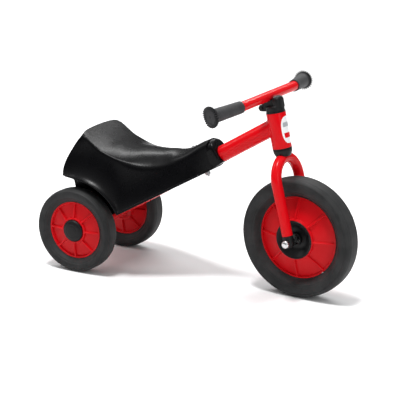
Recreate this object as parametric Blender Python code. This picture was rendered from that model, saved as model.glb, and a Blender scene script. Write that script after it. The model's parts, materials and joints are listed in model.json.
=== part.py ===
"""Toddler ride-on: one steered front wheel, two rear wheels, a moulded saddle on one main tube.

Run with: blender --background --python part.py
Frame: metres, +X forward, +Y the rider's left, +Z up.
Origin on the ground under the middle of the overall length and width.
"""
import math

import bmesh
import bpy
from mathutils import Matrix, Quaternion, Vector
from mathutils.bvhtree import BVHTree

MM = 0.001

# Driving dimensions
FRONT_WHEEL_R = 125 * MM
REAR_WHEEL_R = 90 * MM
FRONT_TYRE_W = 48 * MM
REAR_TYRE_W = 39 * MM
WHEELBASE = 476 * MM
REAR_TRACK = 193 * MM
HEAD_ANGLE = math.radians(12.75)         # steering axis, leaning back from the vertical
HEAD_TUBE_R = 20 * MM
HEAD_TUBE_LENGTH = 72.5 * MM
HEAD_TUBE_BOTTOM_Z = 306 * MM
HEAD_BOTTOM_AHEAD_OF_REAR_AXLE = 431.7 * MM
MAIN_TUBE_R = 17 * MM
MAIN_TUBE_SLOPE = math.radians(31.9)
BAR_R = 10 * MM
BAR_BEHIND_HEAD = 17.6 * MM              # middle of the bar, from the middle of the head tube's top
BAR_ABOVE_HEAD = 31 * MM
BAR_BETWEEN_GRIPS = 212 * MM
GRIP_LENGTH = 85 * MM
GRIP_SWEEP = math.radians(14.5)          # each grip points this far back and this far down
GRIP_DROP = math.radians(4.5)
FORK_TUBE_R = 11 * MM
FORK_HALF_SPAN = 45 * MM
WALL = 2 * MM                            # steel tube wall
GAP = 0.3 * MM                           # between pieces that touch
RUN = 0.05 * MM                          # radial running clearance
AXLE_R = 5 * MM
SHELL_WALL = 4 * MM
STEER_AT_REST = math.radians(-3.2)       # the front wheel rests turned a little to the right
WHEEL_FACETS = 40
ROUND_FACETS = 24
SMALL_FACETS = 16
STEER_TOP_Z = HEAD_TUBE_BOTTOM_Z + HEAD_TUBE_LENGTH * math.cos(HEAD_ANGLE)

# Places that follow from them
LENGTH = REAR_WHEEL_R + WHEELBASE + FRONT_WHEEL_R
REAR_X = REAR_WHEEL_R - LENGTH / 2
FRONT_X = REAR_X + WHEELBASE
REAR_Z = REAR_WHEEL_R
FRONT_Z = FRONT_WHEEL_R
HALF_TRACK = REAR_TRACK / 2
UP_HEAD = Vector((-math.sin(HEAD_ANGLE), 0, math.cos(HEAD_ANGLE)))
HEAD_BOTTOM = Vector((REAR_X + HEAD_BOTTOM_AHEAD_OF_REAR_AXLE, 0, HEAD_TUBE_BOTTOM_Z))
HEAD_TOP = HEAD_BOTTOM + UP_HEAD * HEAD_TUBE_LENGTH
MAIN_DIR = Vector((math.cos(MAIN_TUBE_SLOPE), 0, math.sin(MAIN_TUBE_SLOPE)))
REAR_AXLE = Vector((REAR_X, 0, REAR_Z))
FRONT_AXLE = Vector((FRONT_X, 0, FRONT_Z))
BAR_CENTRE = HEAD_TOP + Vector((-BAR_BEHIND_HEAD, 0, BAR_ABOVE_HEAD))

RED = (0.62, 0.012, 0.014)
BLACK = (0.012, 0.012, 0.013)
RUBBER = (0.028, 0.028, 0.029)
STEEL = (0.62, 0.62, 0.63)


def clear_of(radius, facets):
    """Corner radius of a faceted bore whose flats clear a round shaft by the running clearance."""
    return (radius + RUN) / math.cos(math.pi / facets)


def clear_scene():
    for obj in list(bpy.data.objects):
        bpy.data.objects.remove(obj, do_unlink=True)


def make_material(name, colour, roughness, metallic=0.0):
    material = bpy.data.materials.new(name)
    material.use_nodes = True
    shader = material.node_tree.nodes["Principled BSDF"]
    shader.inputs["Base Color"].default_value = (*colour, 1)
    shader.inputs["Roughness"].default_value = roughness
    shader.inputs["Metallic"].default_value = metallic
    return material


FINISHES = {
    "red_paint": (RED, 0.25, 0.0),
    "red_plastic": (RED, 0.4, 0.0),
    "black_plastic": (BLACK, 0.38, 0.0),
    "grip_rubber": (RUBBER, 0.65, 0.0),
    "tyre_rubber": (RUBBER, 0.7, 0.0),
    "zinc_steel": (STEEL, 0.3, 1.0),
    "bush_plastic": ((0.5, 0.5, 0.48), 0.45, 0.0),
}
MATERIALS = {}


def add_object(name, bm, finish, origin=(0, 0, 0), parent=None, smooth=True):
    """Name the body, put its origin on the given world point and give it its material."""
    bmesh.ops.recalc_face_normals(bm, faces=bm.faces)
    origin = Vector(origin)
    bmesh.ops.translate(bm, verts=bm.verts, vec=-origin)
    mesh = bpy.data.meshes.new(name)
    bm.to_mesh(mesh)
    bm.free()
    if smooth:
        mesh.shade_smooth()
        mesh.set_sharp_from_angle(angle=math.radians(35))
    if finish not in MATERIALS:
        MATERIALS[finish] = make_material(finish, *FINISHES[finish])
    mesh.materials.append(MATERIALS[finish])
    obj = bpy.data.objects.new(name, mesh)
    bpy.context.collection.objects.link(obj)
    obj.location = origin
    if parent is not None:
        obj.parent = parent
        obj.matrix_parent_inverse = parent.matrix_world.inverted()
    return obj


def add_empty(name, location, parent=None):
    empty = bpy.data.objects.new(name, None)
    bpy.context.collection.objects.link(empty)
    empty.location = location
    if parent is not None:
        empty.parent = parent
        empty.matrix_parent_inverse = parent.matrix_world.inverted()
    bpy.context.view_layer.update()
    return empty


def square_to(axis):
    """A unit vector square to the axis, level and ahead for an axis that runs across."""
    first = Vector((1, 0, 0)) if abs(axis.y) > 0.9 else axis.orthogonal()
    return (first - axis * first.dot(axis)).normalized()


def turned(profile, segments, centre, axis):
    """Close a profile of (radius, along) points into a ring or a solid turned about an axis."""
    bm = bmesh.new()
    axis = Vector(axis).normalized()
    side = square_to(axis)
    other = axis.cross(side)
    on_axis = {j: bm.verts.new(Vector(centre) + axis * a) for j, (r, a) in enumerate(profile) if r == 0}
    rings = []
    for k in range(segments):
        angle = 2 * math.pi * k / segments
        out = side * math.cos(angle) + other * math.sin(angle)
        rings.append([on_axis.get(j) or bm.verts.new(Vector(centre) + out * r + axis * a)
                      for j, (r, a) in enumerate(profile)])
    count = len(profile)
    for k in range(segments):
        here, there = rings[k], rings[(k + 1) % segments]
        for j in range(count):
            n = (j + 1) % count
            corners = list(dict.fromkeys((here[j], here[n], there[n], there[j])))
            if len(corners) > 2:
                bm.faces.new(corners)
    return bm


def rod(radius, start, end, segments=20, bevel=0.0):
    """A solid round bar between two points, with chamfered ends."""
    start, end = Vector(start), Vector(end)
    axis = (end - start).normalized()
    side = square_to(axis)
    other = axis.cross(side)
    steps = [(radius, start), (radius, end)]
    if bevel:
        steps = [(radius - bevel, start), (radius, start + axis * bevel),
                 (radius, end - axis * bevel), (radius - bevel, end)]
    bm = bmesh.new()
    rings = []
    for r, point in steps:
        ring = []
        for k in range(segments):
            angle = 2 * math.pi * k / segments
            ring.append(bm.verts.new(point + (side * math.cos(angle) + other * math.sin(angle)) * r))
        rings.append(ring)
    for here, there in zip(rings, rings[1:]):
        for k in range(segments):
            n = (k + 1) % segments
            bm.faces.new((here[k], here[n], there[n], there[k]))
    bm.faces.new(rings[0])
    bm.faces.new(list(reversed(rings[-1])))
    return bm


def tube(radius, inner, start, end, segments=24):
    """A round tube between two points, open at both ends."""
    start, end = Vector(start), Vector(end)
    length = (end - start).length
    profile = [(inner, 0), (radius, 0), (radius, length), (inner, length)]
    return turned(profile, segments, start, end - start)


def swept(path, radius, inner, across, segments=16):
    """A round tube along a path that lies in the plane whose normal is across; solid when inner is 0."""
    bm = bmesh.new()
    across = Vector(across).normalized()
    skins = [radius, inner] if inner else [radius]
    rings_of = {r: [] for r in skins}
    for i, point in enumerate(path):
        tangent = (path[min(i + 1, len(path) - 1)] - path[max(i - 1, 0)]).normalized()
        side = tangent.cross(across).normalized()
        for r in skins:
            ring = []
            for k in range(segments):
                angle = 2 * math.pi * k / segments
                ring.append(bm.verts.new(point + (across * math.cos(angle) + side * math.sin(angle)) * r))
            rings_of[r].append(ring)
    for rings in rings_of.values():
        for here, there in zip(rings, rings[1:]):
            for k in range(segments):
                n = (k + 1) % segments
                bm.faces.new((here[k], here[n], there[n], there[k]))
    for end in (0, -1):
        outer = rings_of[radius][end]
        if not inner:
            bm.faces.new(outer)
            continue
        hole = rings_of[inner][end]
        for k in range(segments):
            n = (k + 1) % segments
            bm.faces.new((outer[k], outer[n], hole[n], hole[k]))
    return bm


def box(low, high):
    bm = bmesh.new()
    low, high = Vector(low), Vector(high)
    size = high - low
    matrix = Matrix.Translation((low + high) / 2) @ Matrix.Diagonal((*size, 1))
    bmesh.ops.create_cube(bm, size=1, matrix=matrix)
    return bm


def cut(obj, cutter_bm, name, operation="DIFFERENCE"):
    """Boolean the object with a hidden wire body."""
    cutter = add_object(name, cutter_bm, "black_plastic", parent=obj.parent, smooth=False)
    cutter.hide_render = True
    cutter.display_type = "WIRE"
    modifier = obj.modifiers.new(name, "BOOLEAN")
    modifier.operation = operation
    modifier.solver = "EXACT"
    modifier.object = cutter
    return cutter


def mirrored(value):
    """A point of the left side, carried over to the right."""
    return Vector((value[0], -value[1], value[2]))


# ---------------------------------------------------------------- wheels

def tyre(name, centre, radius, width, rim_radius, face_half, parent):
    """Solid rubber tyre: flat-topped tread, round shoulders, sides dished in to the rim."""
    half = width / 2
    one_side = [
        (rim_radius + GAP, face_half - 2 * MM),
        (rim_radius + 2.5 * MM, face_half + 1 * MM),
        (radius * 0.775, half * 0.78),
        (radius * 0.86, half * 0.98),
        (radius * 0.93, half),
        (radius * 0.98, half * 0.8),
        (radius, half * 0.35),
    ]
    profile = [(r, a) for r, a in one_side] + [(r, -a) for r, a in reversed(one_side)]
    bm = turned(profile, WHEEL_FACETS, centre, (0, 1, 0))
    return add_object(name, bm, "tyre_rubber", centre, parent)


def ribbed_rim(name, centre, bore, hub_r, hub_half, cone_r, cone_half, rim_radius, face_half, parent):
    """Moulded rim: eight ribs on each dished face with sunk pockets between them."""
    ribs = 8
    rib_half = 1.6 * MM
    pocket = 4.5 * MM
    draft = 0.8 * MM
    ring_wall = 3.2 * MM
    inner_wall = 2.5 * MM

    def face_height(r):
        """Half-thickness of the face without pockets, a straight cone from hub to ring."""
        if r <= cone_r:
            return cone_half
        return cone_half + (face_half - cone_half) * (r - cone_r) / (rim_radius - cone_r)

    pocket_in = cone_r + inner_wall
    pocket_out = rim_radius - ring_wall
    radii = [(cone_r, 0), (pocket_in, 0), (pocket_in + draft, 1), (pocket_out - draft, 1), (pocket_out, 0),
             (rim_radius, 0)]
    steps = []
    pitch = 2 * math.pi / ribs
    for k in range(ribs):
        middle = k * pitch
        for offset in (-rib_half - draft, -rib_half, rib_half, rib_half + draft):
            steps.append((middle, offset, abs(offset) > rib_half + draft / 2))
        steps.append((middle + pitch / 2, 0, True))
    bm = bmesh.new()
    verts_of = {}
    for side in (1, -1):
        for i, (middle, offset, open_floor) in enumerate(steps):
            for j, (r, deep) in enumerate(radii):
                angle = middle + math.asin(offset / r)
                height = face_height(r)
                if deep and open_floor:
                    height -= pocket
                out = Vector((r * math.cos(angle), side * height, r * math.sin(angle)))
                verts_of[side, i, j] = bm.verts.new(centre + out)
    count, last = len(steps), len(radii) - 1
    for side in (1, -1):
        for i in range(count):
            n = (i + 1) % count
            for j in range(last):
                bm.faces.new((verts_of[side, i, j], verts_of[side, n, j], verts_of[side, n, j + 1],
                              verts_of[side, i, j + 1]))
    for i in range(count):
        n = (i + 1) % count
        bm.faces.new((verts_of[1, i, last], verts_of[1, n, last], verts_of[-1, n, last],
                      verts_of[-1, i, last]))
    # stepped bore: from the cone's inner edge down to the hub, then through to the axle bore
    for side in (1, -1):
        previous = [verts_of[side, i, 0] for i in range(count)]
        for r in (hub_r, bore):
            ring = []
            for i, (middle, offset, _) in enumerate(steps):
                angle = middle + math.asin(offset / cone_r)
                ring.append(bm.verts.new((centre[0] + r * math.cos(angle), centre[1] + side * hub_half,
                                          centre[2] + r * math.sin(angle))))
            for i in range(count):
                n = (i + 1) % count
                bm.faces.new((previous[i], previous[n], ring[n], ring[i]))
            previous = ring
        verts_of[side, "bore"] = previous
    for i in range(count):
        n = (i + 1) % count
        bm.faces.new((verts_of[1, "bore"][i], verts_of[1, "bore"][n], verts_of[-1, "bore"][n],
                      verts_of[-1, "bore"][i]))
    return add_object(name, bm, "red_plastic", centre, parent)


def flanged_bushes(names, centre, bore, hub_half, parent):
    """A plain bush pressed in each end of the hub: the left end first, then the right."""
    for side, name in zip((1, -1), names):
        profile = [(AXLE_BORE, 2 * MM), (bore - GAP, 2 * MM), (bore - GAP, hub_half + GAP),
                   (bore + 2 * MM, hub_half + GAP), (bore + 2 * MM, hub_half + 2 * MM),
                   (AXLE_BORE, hub_half + 2 * MM)]
        bm = turned([(r, a * side) for r, a in profile], SMALL_FACETS, centre, (0, 1, 0))
        add_object(name, bm, "bush_plastic", centre, parent)


AXLE_BORE = clear_of(AXLE_R, SMALL_FACETS)
HUB_BORE = 8 * MM
FRONT_RIM_R = 86 * MM
FRONT_FACE_HALF = 7 * MM
FRONT_CONE_R = 39.5 * MM
FRONT_CONE_HALF = 25 * MM
FRONT_HUB_HALF = 10 * MM
REAR_RIM_R = 61.5 * MM
REAR_FACE_HALF = 8.5 * MM
REAR_CONE_R = 25 * MM
REAR_CONE_HALF = 15 * MM
REAR_HUB_HALF = 11 * MM


def front_wheel(parent):
    spin = add_empty("front_wheel_axis", FRONT_AXLE, parent)
    tyre("front_tyre", FRONT_AXLE, FRONT_WHEEL_R, FRONT_TYRE_W, FRONT_RIM_R, FRONT_FACE_HALF, spin)
    ribbed_rim("front_rim", FRONT_AXLE, HUB_BORE, 24 * MM, FRONT_HUB_HALF, FRONT_CONE_R, FRONT_CONE_HALF,
               FRONT_RIM_R, FRONT_FACE_HALF, spin)
    flanged_bushes(("front_bush_left", "front_bush_right"), FRONT_AXLE, HUB_BORE, FRONT_HUB_HALF, spin)
    floor = FRONT_HUB_HALF + GAP
    lip = FRONT_CONE_HALF + 1 * MM
    for side, word in ((1, "left"), (-1, "right")):
        profile = [(11 * MM, floor), (23.7 * MM, floor), (38 * MM, FRONT_CONE_HALF + GAP),
                   (40.5 * MM, FRONT_CONE_HALF + GAP), (39 * MM, lip + 0.6 * MM), (36.5 * MM, lip),
                   (22.5 * MM, floor + 2.5 * MM), (13.5 * MM, floor + 2.5 * MM), (13 * MM, floor + 11 * MM),
                   (11 * MM, floor + 11 * MM)]
        bm = turned([(r, a * side) for r, a in profile], 32, FRONT_AXLE, (0, 1, 0))
        add_object("front_hub_cup_" + word, bm, "black_plastic", FRONT_AXLE, spin)


def rear_wheel(side, word):
    centre = Vector((REAR_X, side * HALF_TRACK, REAR_Z))
    spin = add_empty("rear_wheel_axis_" + word, centre)
    tyre("rear_tyre_" + word, centre, REAR_WHEEL_R, REAR_TYRE_W, REAR_RIM_R, REAR_FACE_HALF, spin)
    ribbed_rim("rear_rim_" + word, centre, HUB_BORE, 18 * MM, REAR_HUB_HALF, REAR_CONE_R, REAR_CONE_HALF,
               REAR_RIM_R, REAR_FACE_HALF, spin)
    ends = ("outer", "inner") if side > 0 else ("inner", "outer")
    flanged_bushes([f"rear_{word}_bush_{end}" for end in ends], centre, HUB_BORE, REAR_HUB_HALF, spin)
    base = REAR_CONE_HALF + GAP
    profile = [(0, base + 5 * MM), (0, base + 7 * MM), (14 * MM, base + 6.6 * MM),
               (20.5 * MM, base + 5 * MM), (23.6 * MM, base + 2 * MM), (23.6 * MM, base), (18.5 * MM, base),
               (17.5 * MM, base + 3.6 * MM)]
    bm = turned([(r, a * side) for r, a in profile], ROUND_FACETS, centre, (0, 1, 0))
    add_object("rear_hub_cap_" + word, bm, "black_plastic", centre, spin)


# ---------------------------------------------------------------- frame

ROD_END = HALF_TRACK + REAR_HUB_HALF + 5 * MM
PLATE_IN = 63 * MM
PLATE_OUT = 66 * MM
WELL_IN = 66.4 * MM
WELL_OUT = 69.4 * MM
AXLE_CLEAR = 5.6 * MM                     # radius of the holes that the axle rod passes through freely


def plate(outline, y_low, y_high):
    """A flat plate: an outline of (x, z) points given a thickness along Y."""
    bm = bmesh.new()
    near = [bm.verts.new((x, y_low, z)) for x, z in outline]
    far = [bm.verts.new((x, y_high, z)) for x, z in outline]
    count = len(outline)
    for k in range(count):
        n = (k + 1) % count
        bm.faces.new((near[k], near[n], far[n], far[k]))
    bm.faces.new(near)
    bm.faces.new(list(reversed(far)))
    return bm


def frame():
    head = tube(HEAD_TUBE_R, 16.5 * MM, HEAD_BOTTOM, HEAD_TOP, 32)
    add_object("head_tube", head, "red_paint", HEAD_BOTTOM)

    # the main tube runs straight from the axle tube to the head tube
    axle_tube_r = 13 * MM
    head_cut = HEAD_TUBE_R + GAP
    far = (HEAD_BOTTOM - REAR_AXLE).length
    main = tube(MAIN_TUBE_R, MAIN_TUBE_R - WALL, REAR_AXLE, REAR_AXLE + MAIN_DIR * far, ROUND_FACETS)
    main = add_object("main_tube", main, "red_paint", REAR_AXLE)
    cut(main, rod(head_cut, HEAD_BOTTOM - UP_HEAD * 0.08, HEAD_TOP + UP_HEAD * 0.08, 32), "head_cutter")
    wide = Vector((0, 0.1, 0))
    cut(main, rod(axle_tube_r + GAP, REAR_AXLE - wide, REAR_AXLE + wide, 32), "axle_cutter")
    past = REAR_AXLE - MAIN_DIR * 0.05 - Vector((0.05, 0.05, 0.05))
    cut(main, box(past, REAR_AXLE + Vector((0, 0.05, 0.005))), "behind_cutter")

    reach = Vector((0, PLATE_IN - GAP, 0))
    axle_tube = tube(axle_tube_r, AXLE_CLEAR, REAR_AXLE - reach, REAR_AXLE + reach, ROUND_FACETS)
    add_object("rear_axle_tube", axle_tube, "red_paint", REAR_AXLE)
    for side, word in ((1, "left"), (-1, "right")):
        outline = [(REAR_X + x * MM, REAR_Z + z * MM) for x, z in
                   ((-20, -14), (16, -14), (42, 22), (42, 40), (20, 44), (-20, 30))]
        bm = plate(outline, side * PLATE_IN, side * PLATE_OUT)
        bracket = add_object("seat_bracket_" + word, bm, "red_paint", REAR_AXLE)
        cut(bracket, rod(AXLE_CLEAR, REAR_AXLE - wide, REAR_AXLE + wide, 24), "bracket_hole_" + word)

    end = Vector((0, ROD_END, 0))
    axle = rod(AXLE_R, REAR_AXLE - end, REAR_AXLE + end, 24, 0.8 * MM)
    add_object("rear_axle_rod", axle, "zinc_steel", REAR_AXLE)
    spacer_out = HALF_TRACK - REAR_HUB_HALF - 2.5 * MM
    for side, word in ((1, "left"), (-1, "right")):
        inner, outer = side * (WELL_OUT + GAP), side * spacer_out
        ring = [(AXLE_BORE, inner), (8.5 * MM, inner), (8.5 * MM, outer), (AXLE_BORE, outer)]
        bm = turned(ring, SMALL_FACETS, REAR_AXLE, (0, 1, 0))
        add_object("rear_spacer_" + word, bm, "zinc_steel", REAR_AXLE)
        inner = side * (HALF_TRACK + REAR_HUB_HALF + 2.5 * MM)
        outer = side * (HALF_TRACK + REAR_HUB_HALF + 4 * MM)
        ring = [(AXLE_BORE, inner), (10 * MM, inner), (10 * MM, outer), (AXLE_BORE, outer)]
        bm = turned(ring, SMALL_FACETS, REAR_AXLE, (0, 1, 0))
        add_object("rear_retaining_ring_" + word, bm, "zinc_steel", REAR_AXLE)


# ---------------------------------------------------------------- seat shell

NECK_BOLT_ALONG = 295 * MM                # along the main tube from the rear axle
NECK_BOLT_R = 3 * MM
NECK_BOLT_SEAT = 40 * MM                  # under the bolt's head, above the tube's axis

# The sharp edge between the seat's top and its side: ahead of the rear axle, half-width, height, crown rise
CREASE = [(-1, 74, 295, 0), (20, 74.3, 279, 1.5), (40, 74.3, 266, 4), (60, 74.2, 258, 8), (80, 74, 251.5, 12),
          (100, 74, 246.5, 17), (120, 72.5, 242.5, 22), (140, 68.5, 239.5, 26), (160, 62, 240, 27),
          (180, 54.5, 243.5, 26), (200, 46.5, 250, 21), (225, 38, 263, 15.5), (250, 30, 279, 14.5),
          (270, 24.5, 291.5, 12)]
ARCH_R = 113 * MM
RIM_HALF = 105 * MM
NECK_RIM = (286 * MM, 23.5 * MM, 247.5 * MM)
REAR_CORNER = (-34 * MM, 98 * MM, 205 * MM)
REAR_BULGE = 17 * MM                      # how far the side's rear edge bows backwards
ACROSS = 6                                # faces across the top
DOWN = 5                                  # faces down each side
COLLAR_FRONT = 350 * MM                   # along the main tube from the rear axle
COLLAR_LENGTH = 30 * MM
COLLAR_HALF = 25.5 * MM
COLLAR_SHOULDER = 16 * MM                 # heights square to the main tube's axis
COLLAR_TOP = 37 * MM
COLLAR_FOOT = -17.2 * MM
COLLAR_ARC_STEPS = 12


def smooth_step(t):
    return t * t * (3 - 2 * t)


def sample(table, u):
    """Cubic interpolation of the crease table at station u (a fractional row number)."""
    i = min(int(u), len(table) - 2)
    t = u - i
    rows = [table[max(i - 1, 0)], table[i], table[i + 1], table[min(i + 2, len(table) - 1)]]
    values = []
    for a, b, c, d in zip(*rows):
        values.append(0.5 * (2 * b + (c - a) * t + (2 * a - 5 * b + 4 * c - d) * t * t
                             + (3 * b - 3 * c + d - a) * t ** 3))
    return values


def rim_point(u):
    """Lower edge of the shell's left side at station u, relative to the point under the rear axle."""
    arch_start, arch_end, last = 1.5, 5.0, len(CREASE) - 1
    corner = Vector((104 * MM, RIM_HALF, 141.5 * MM))
    if u <= arch_start:
        t = u / arch_start
        return Vector(REAR_CORNER).lerp(Vector((-2 * MM, RIM_HALF - 1 * MM, REAR_Z + ARCH_R + 1 * MM)), t)
    if u <= arch_end:
        start, stop = math.radians(91), math.atan2(corner.z - REAR_Z, corner.x)
        angle = start + (stop - start) * (u - arch_start) / (arch_end - arch_start)
        radius = ARCH_R + (math.hypot(corner.x, corner.z - REAR_Z) - ARCH_R) * smooth_step(
            (u - arch_start) / (arch_end - arch_start)) ** 3
        return Vector((radius * math.cos(angle), RIM_HALF, REAR_Z + radius * math.sin(angle)))
    t = (u - arch_end) / (last - arch_end)
    return corner.lerp(Vector(NECK_RIM), t)


def flank_point(u, v):
    """Point on the left side, from the crease (v=0) down to the rim (v=1)."""
    ahead, half, height, _ = [c * MM for c in sample(CREASE, u)]
    crease = Vector((ahead, half, height))
    rim = rim_point(u)
    neck = max(0.0, (u - 8) / (len(CREASE) - 1 - 8))
    flare = 0.16 + 0.34 * neck
    control = Vector(((crease.x + rim.x) / 2, half + 2 * MM + (rim.y - half) * 0.25,
                      rim.z + (crease.z - rim.z) * flare))
    point = crease * (1 - v) ** 2 + control * 2 * v * (1 - v) + rim * v * v
    rear = max(0.0, 1 - u / 4)
    point.x -= REAR_BULGE * rear ** 1.5 * math.sin(math.pi * v)
    point.x += REAR_X
    return point


def top_point(u, s):
    """Point on the top, from the left crease (s=1) over the crown (s=0) to the right (s=-1)."""
    ahead, half, height, rise = [c * MM for c in sample(CREASE, u)]
    rear = max(0.0, 1 - u / 1.5)
    bow = 1 - s * s
    neck = max(0.0, (u - 9) / (len(CREASE) - 1 - 9))
    round_bow = bow * (1 - neck) + math.sqrt(max(bow, 0)) * neck
    x = REAR_X + ahead - 8 * MM * rear * bow
    return Vector((x, half * s, height + rise * round_bow + 1.5 * MM * rear * bow))


def shell_grid(stations, across, down):
    """Outer surface of the shell as rows of points from the left rim over the top to the right rim."""
    rows = []
    for i in range(stations + 1):
        u = (len(CREASE) - 1) * i / stations
        row = [flank_point(u, 1 - k / down) for k in range(down)]
        row += [top_point(u, 1 - 2 * k / across) for k in range(across + 1)]
        row += [mirrored(flank_point(u, (k + 1) / down)) for k in range(down)]
        rows.append(row)
    return rows


def rear_panel_rows(rows, across, down):
    """Rows of the back wall, below the rear edge of the top, between the two side edges."""
    first = rows[0]
    panel = []
    for k in range(1, down + 1):
        left = first[down - k]
        row = []
        for j in range(across + 1):
            s = 1 - 2 * j / across
            bow = 1 - s * s
            row.append(Vector((left.x - (8 - 5 * k / down) * MM * bow, left.y * s, left.z + 1.5 * MM * bow)))
        panel.append(row)
    return panel


def shell_surface(stations=20, across=ACROSS, down=DOWN):
    bm = bmesh.new()
    rows = shell_grid(stations, across, down)
    grid = [[bm.verts.new(p) for p in row] for row in rows]
    for here, there in zip(grid, grid[1:]):
        for k in range(len(here) - 1):
            bm.faces.new((here[k], here[k + 1], there[k + 1], there[k]))
    previous = grid[0][down:down + across + 1]
    for k, row in enumerate(rear_panel_rows(rows, across, down), start=1):
        verts = [grid[0][down - k]]
        verts += [bm.verts.new(p) for p in row[1:-1]]
        verts += [grid[0][down + across + k]]
        for j in range(across):
            bm.faces.new((previous[j], previous[j + 1], verts[j + 1], verts[j]))
        previous = verts
    bmesh.ops.recalc_face_normals(bm, faces=bm.faces)
    if sum(f.normal.z for f in bm.faces) < 0:
        bmesh.ops.reverse_faces(bm, faces=bm.faces)
    return bm


def thickened(bm, wall):
    """Close an open surface into a shell of even wall, grown inwards along the vertex normals."""
    bm.normal_update()
    outer = list(bm.verts)
    inner = {}
    for v in outer:
        total = Vector()
        for f in v.link_faces:
            total += f.normal
        normal = total.normalized()
        spread = min(f.normal.dot(normal) for f in v.link_faces)
        inner[v] = bm.verts.new(v.co - normal * wall / max(spread, 0.6))
    for f in list(bm.faces):
        bm.faces.new([inner[v] for v in reversed(f.verts)])
    for e in [e for e in bm.edges if len(e.link_faces) == 1 and e.verts[0] in inner]:
        a, b = e.verts
        bm.faces.new((a, b, inner[b], inner[a]))
    return bm


def neck_collar():
    """Solid horseshoe square to the main tube, which closes the neck round it."""
    above = Vector((-MAIN_DIR.z, 0, MAIN_DIR.x))
    outline = []
    for k in range(COLLAR_ARC_STEPS + 1):
        angle = math.pi * k / COLLAR_ARC_STEPS
        outline.append((COLLAR_HALF * math.cos(angle),
                        COLLAR_SHOULDER + (COLLAR_TOP - COLLAR_SHOULDER) * math.sin(angle)))
    outline += [(-COLLAR_HALF + 3 * MM, COLLAR_FOOT), (COLLAR_HALF - 3 * MM, COLLAR_FOOT)]
    bm = bmesh.new()
    rings = []
    edges = ((COLLAR_LENGTH, 0.95), (COLLAR_LENGTH - 2 * MM, 1), (4 * MM, 1), (1.2 * MM, 0.95), (0, 0.88))
    for back, shrink in edges:
        at = REAR_AXLE + MAIN_DIR * (COLLAR_FRONT - back)
        rings.append([bm.verts.new(at + Vector((0, y * shrink, 0)) + above * height * shrink)
                      for y, height in outline])
    for here, there in zip(rings, rings[1:]):
        for k in range(len(outline)):
            n = (k + 1) % len(outline)
            bm.faces.new((here[k], here[n], there[n], there[k]))
    bm.faces.new(rings[0])
    bm.faces.new(list(reversed(rings[-1])))
    return bm


def seat_shell():
    skin = thickened(shell_surface(), SHELL_WALL)
    tree = BVHTree.FromBMesh(skin)
    shell = add_object("seat_shell", skin, "black_plastic", REAR_AXLE)

    def ceiling(x, y):
        """Middle of the wall above a point inside the shell."""
        hit = tree.ray_cast(Vector((x, y, 1.0)), Vector((0, 0, -1)))
        return hit[0].z - SHELL_WALL * 0.5

    # a wall down the inner side of each wheel, moulded with the shell
    lower = [(-24, 187), (-20, 170), (-16, 112), (22, 104), (46, 112), (88, 134)]
    for side, word in ((1, "left"), (-1, "right")):
        top = []
        for k in range(7):
            x = REAR_X + (-14 + k * 17) * MM
            top.append((x, min(ceiling(x, side * WELL_IN), ceiling(x, side * WELL_OUT))))
        outline = [(REAR_X + x * MM, z * MM) for x, z in lower] + list(reversed(top))
        cut(shell, plate(outline, side * WELL_IN, side * WELL_OUT), "well_wall_" + word, "UNION")

    cut(shell, neck_collar(), "neck_collar", "UNION")
    clear = MAIN_TUBE_R + GAP
    start, end = REAR_AXLE + MAIN_DIR * 0.2, REAR_AXLE + MAIN_DIR * 0.38
    cut(shell, rod(clear, start, end, 28), "tube_slot")
    drop = Vector((0, 0, -0.04))
    slot = bmesh.new()
    corners = [start, end, end + drop, start + drop]
    a = [slot.verts.new(p + Vector((0, clear, 0))) for p in corners]
    b = [slot.verts.new(p - Vector((0, clear, 0))) for p in corners]
    for k in range(4):
        n = (k + 1) % 4
        slot.faces.new((a[k], a[n], b[n], b[k]))
    slot.faces.new(a)
    slot.faces.new(list(reversed(b)))
    cut(shell, slot, "tube_slot_mouth")
    return shell


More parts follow.
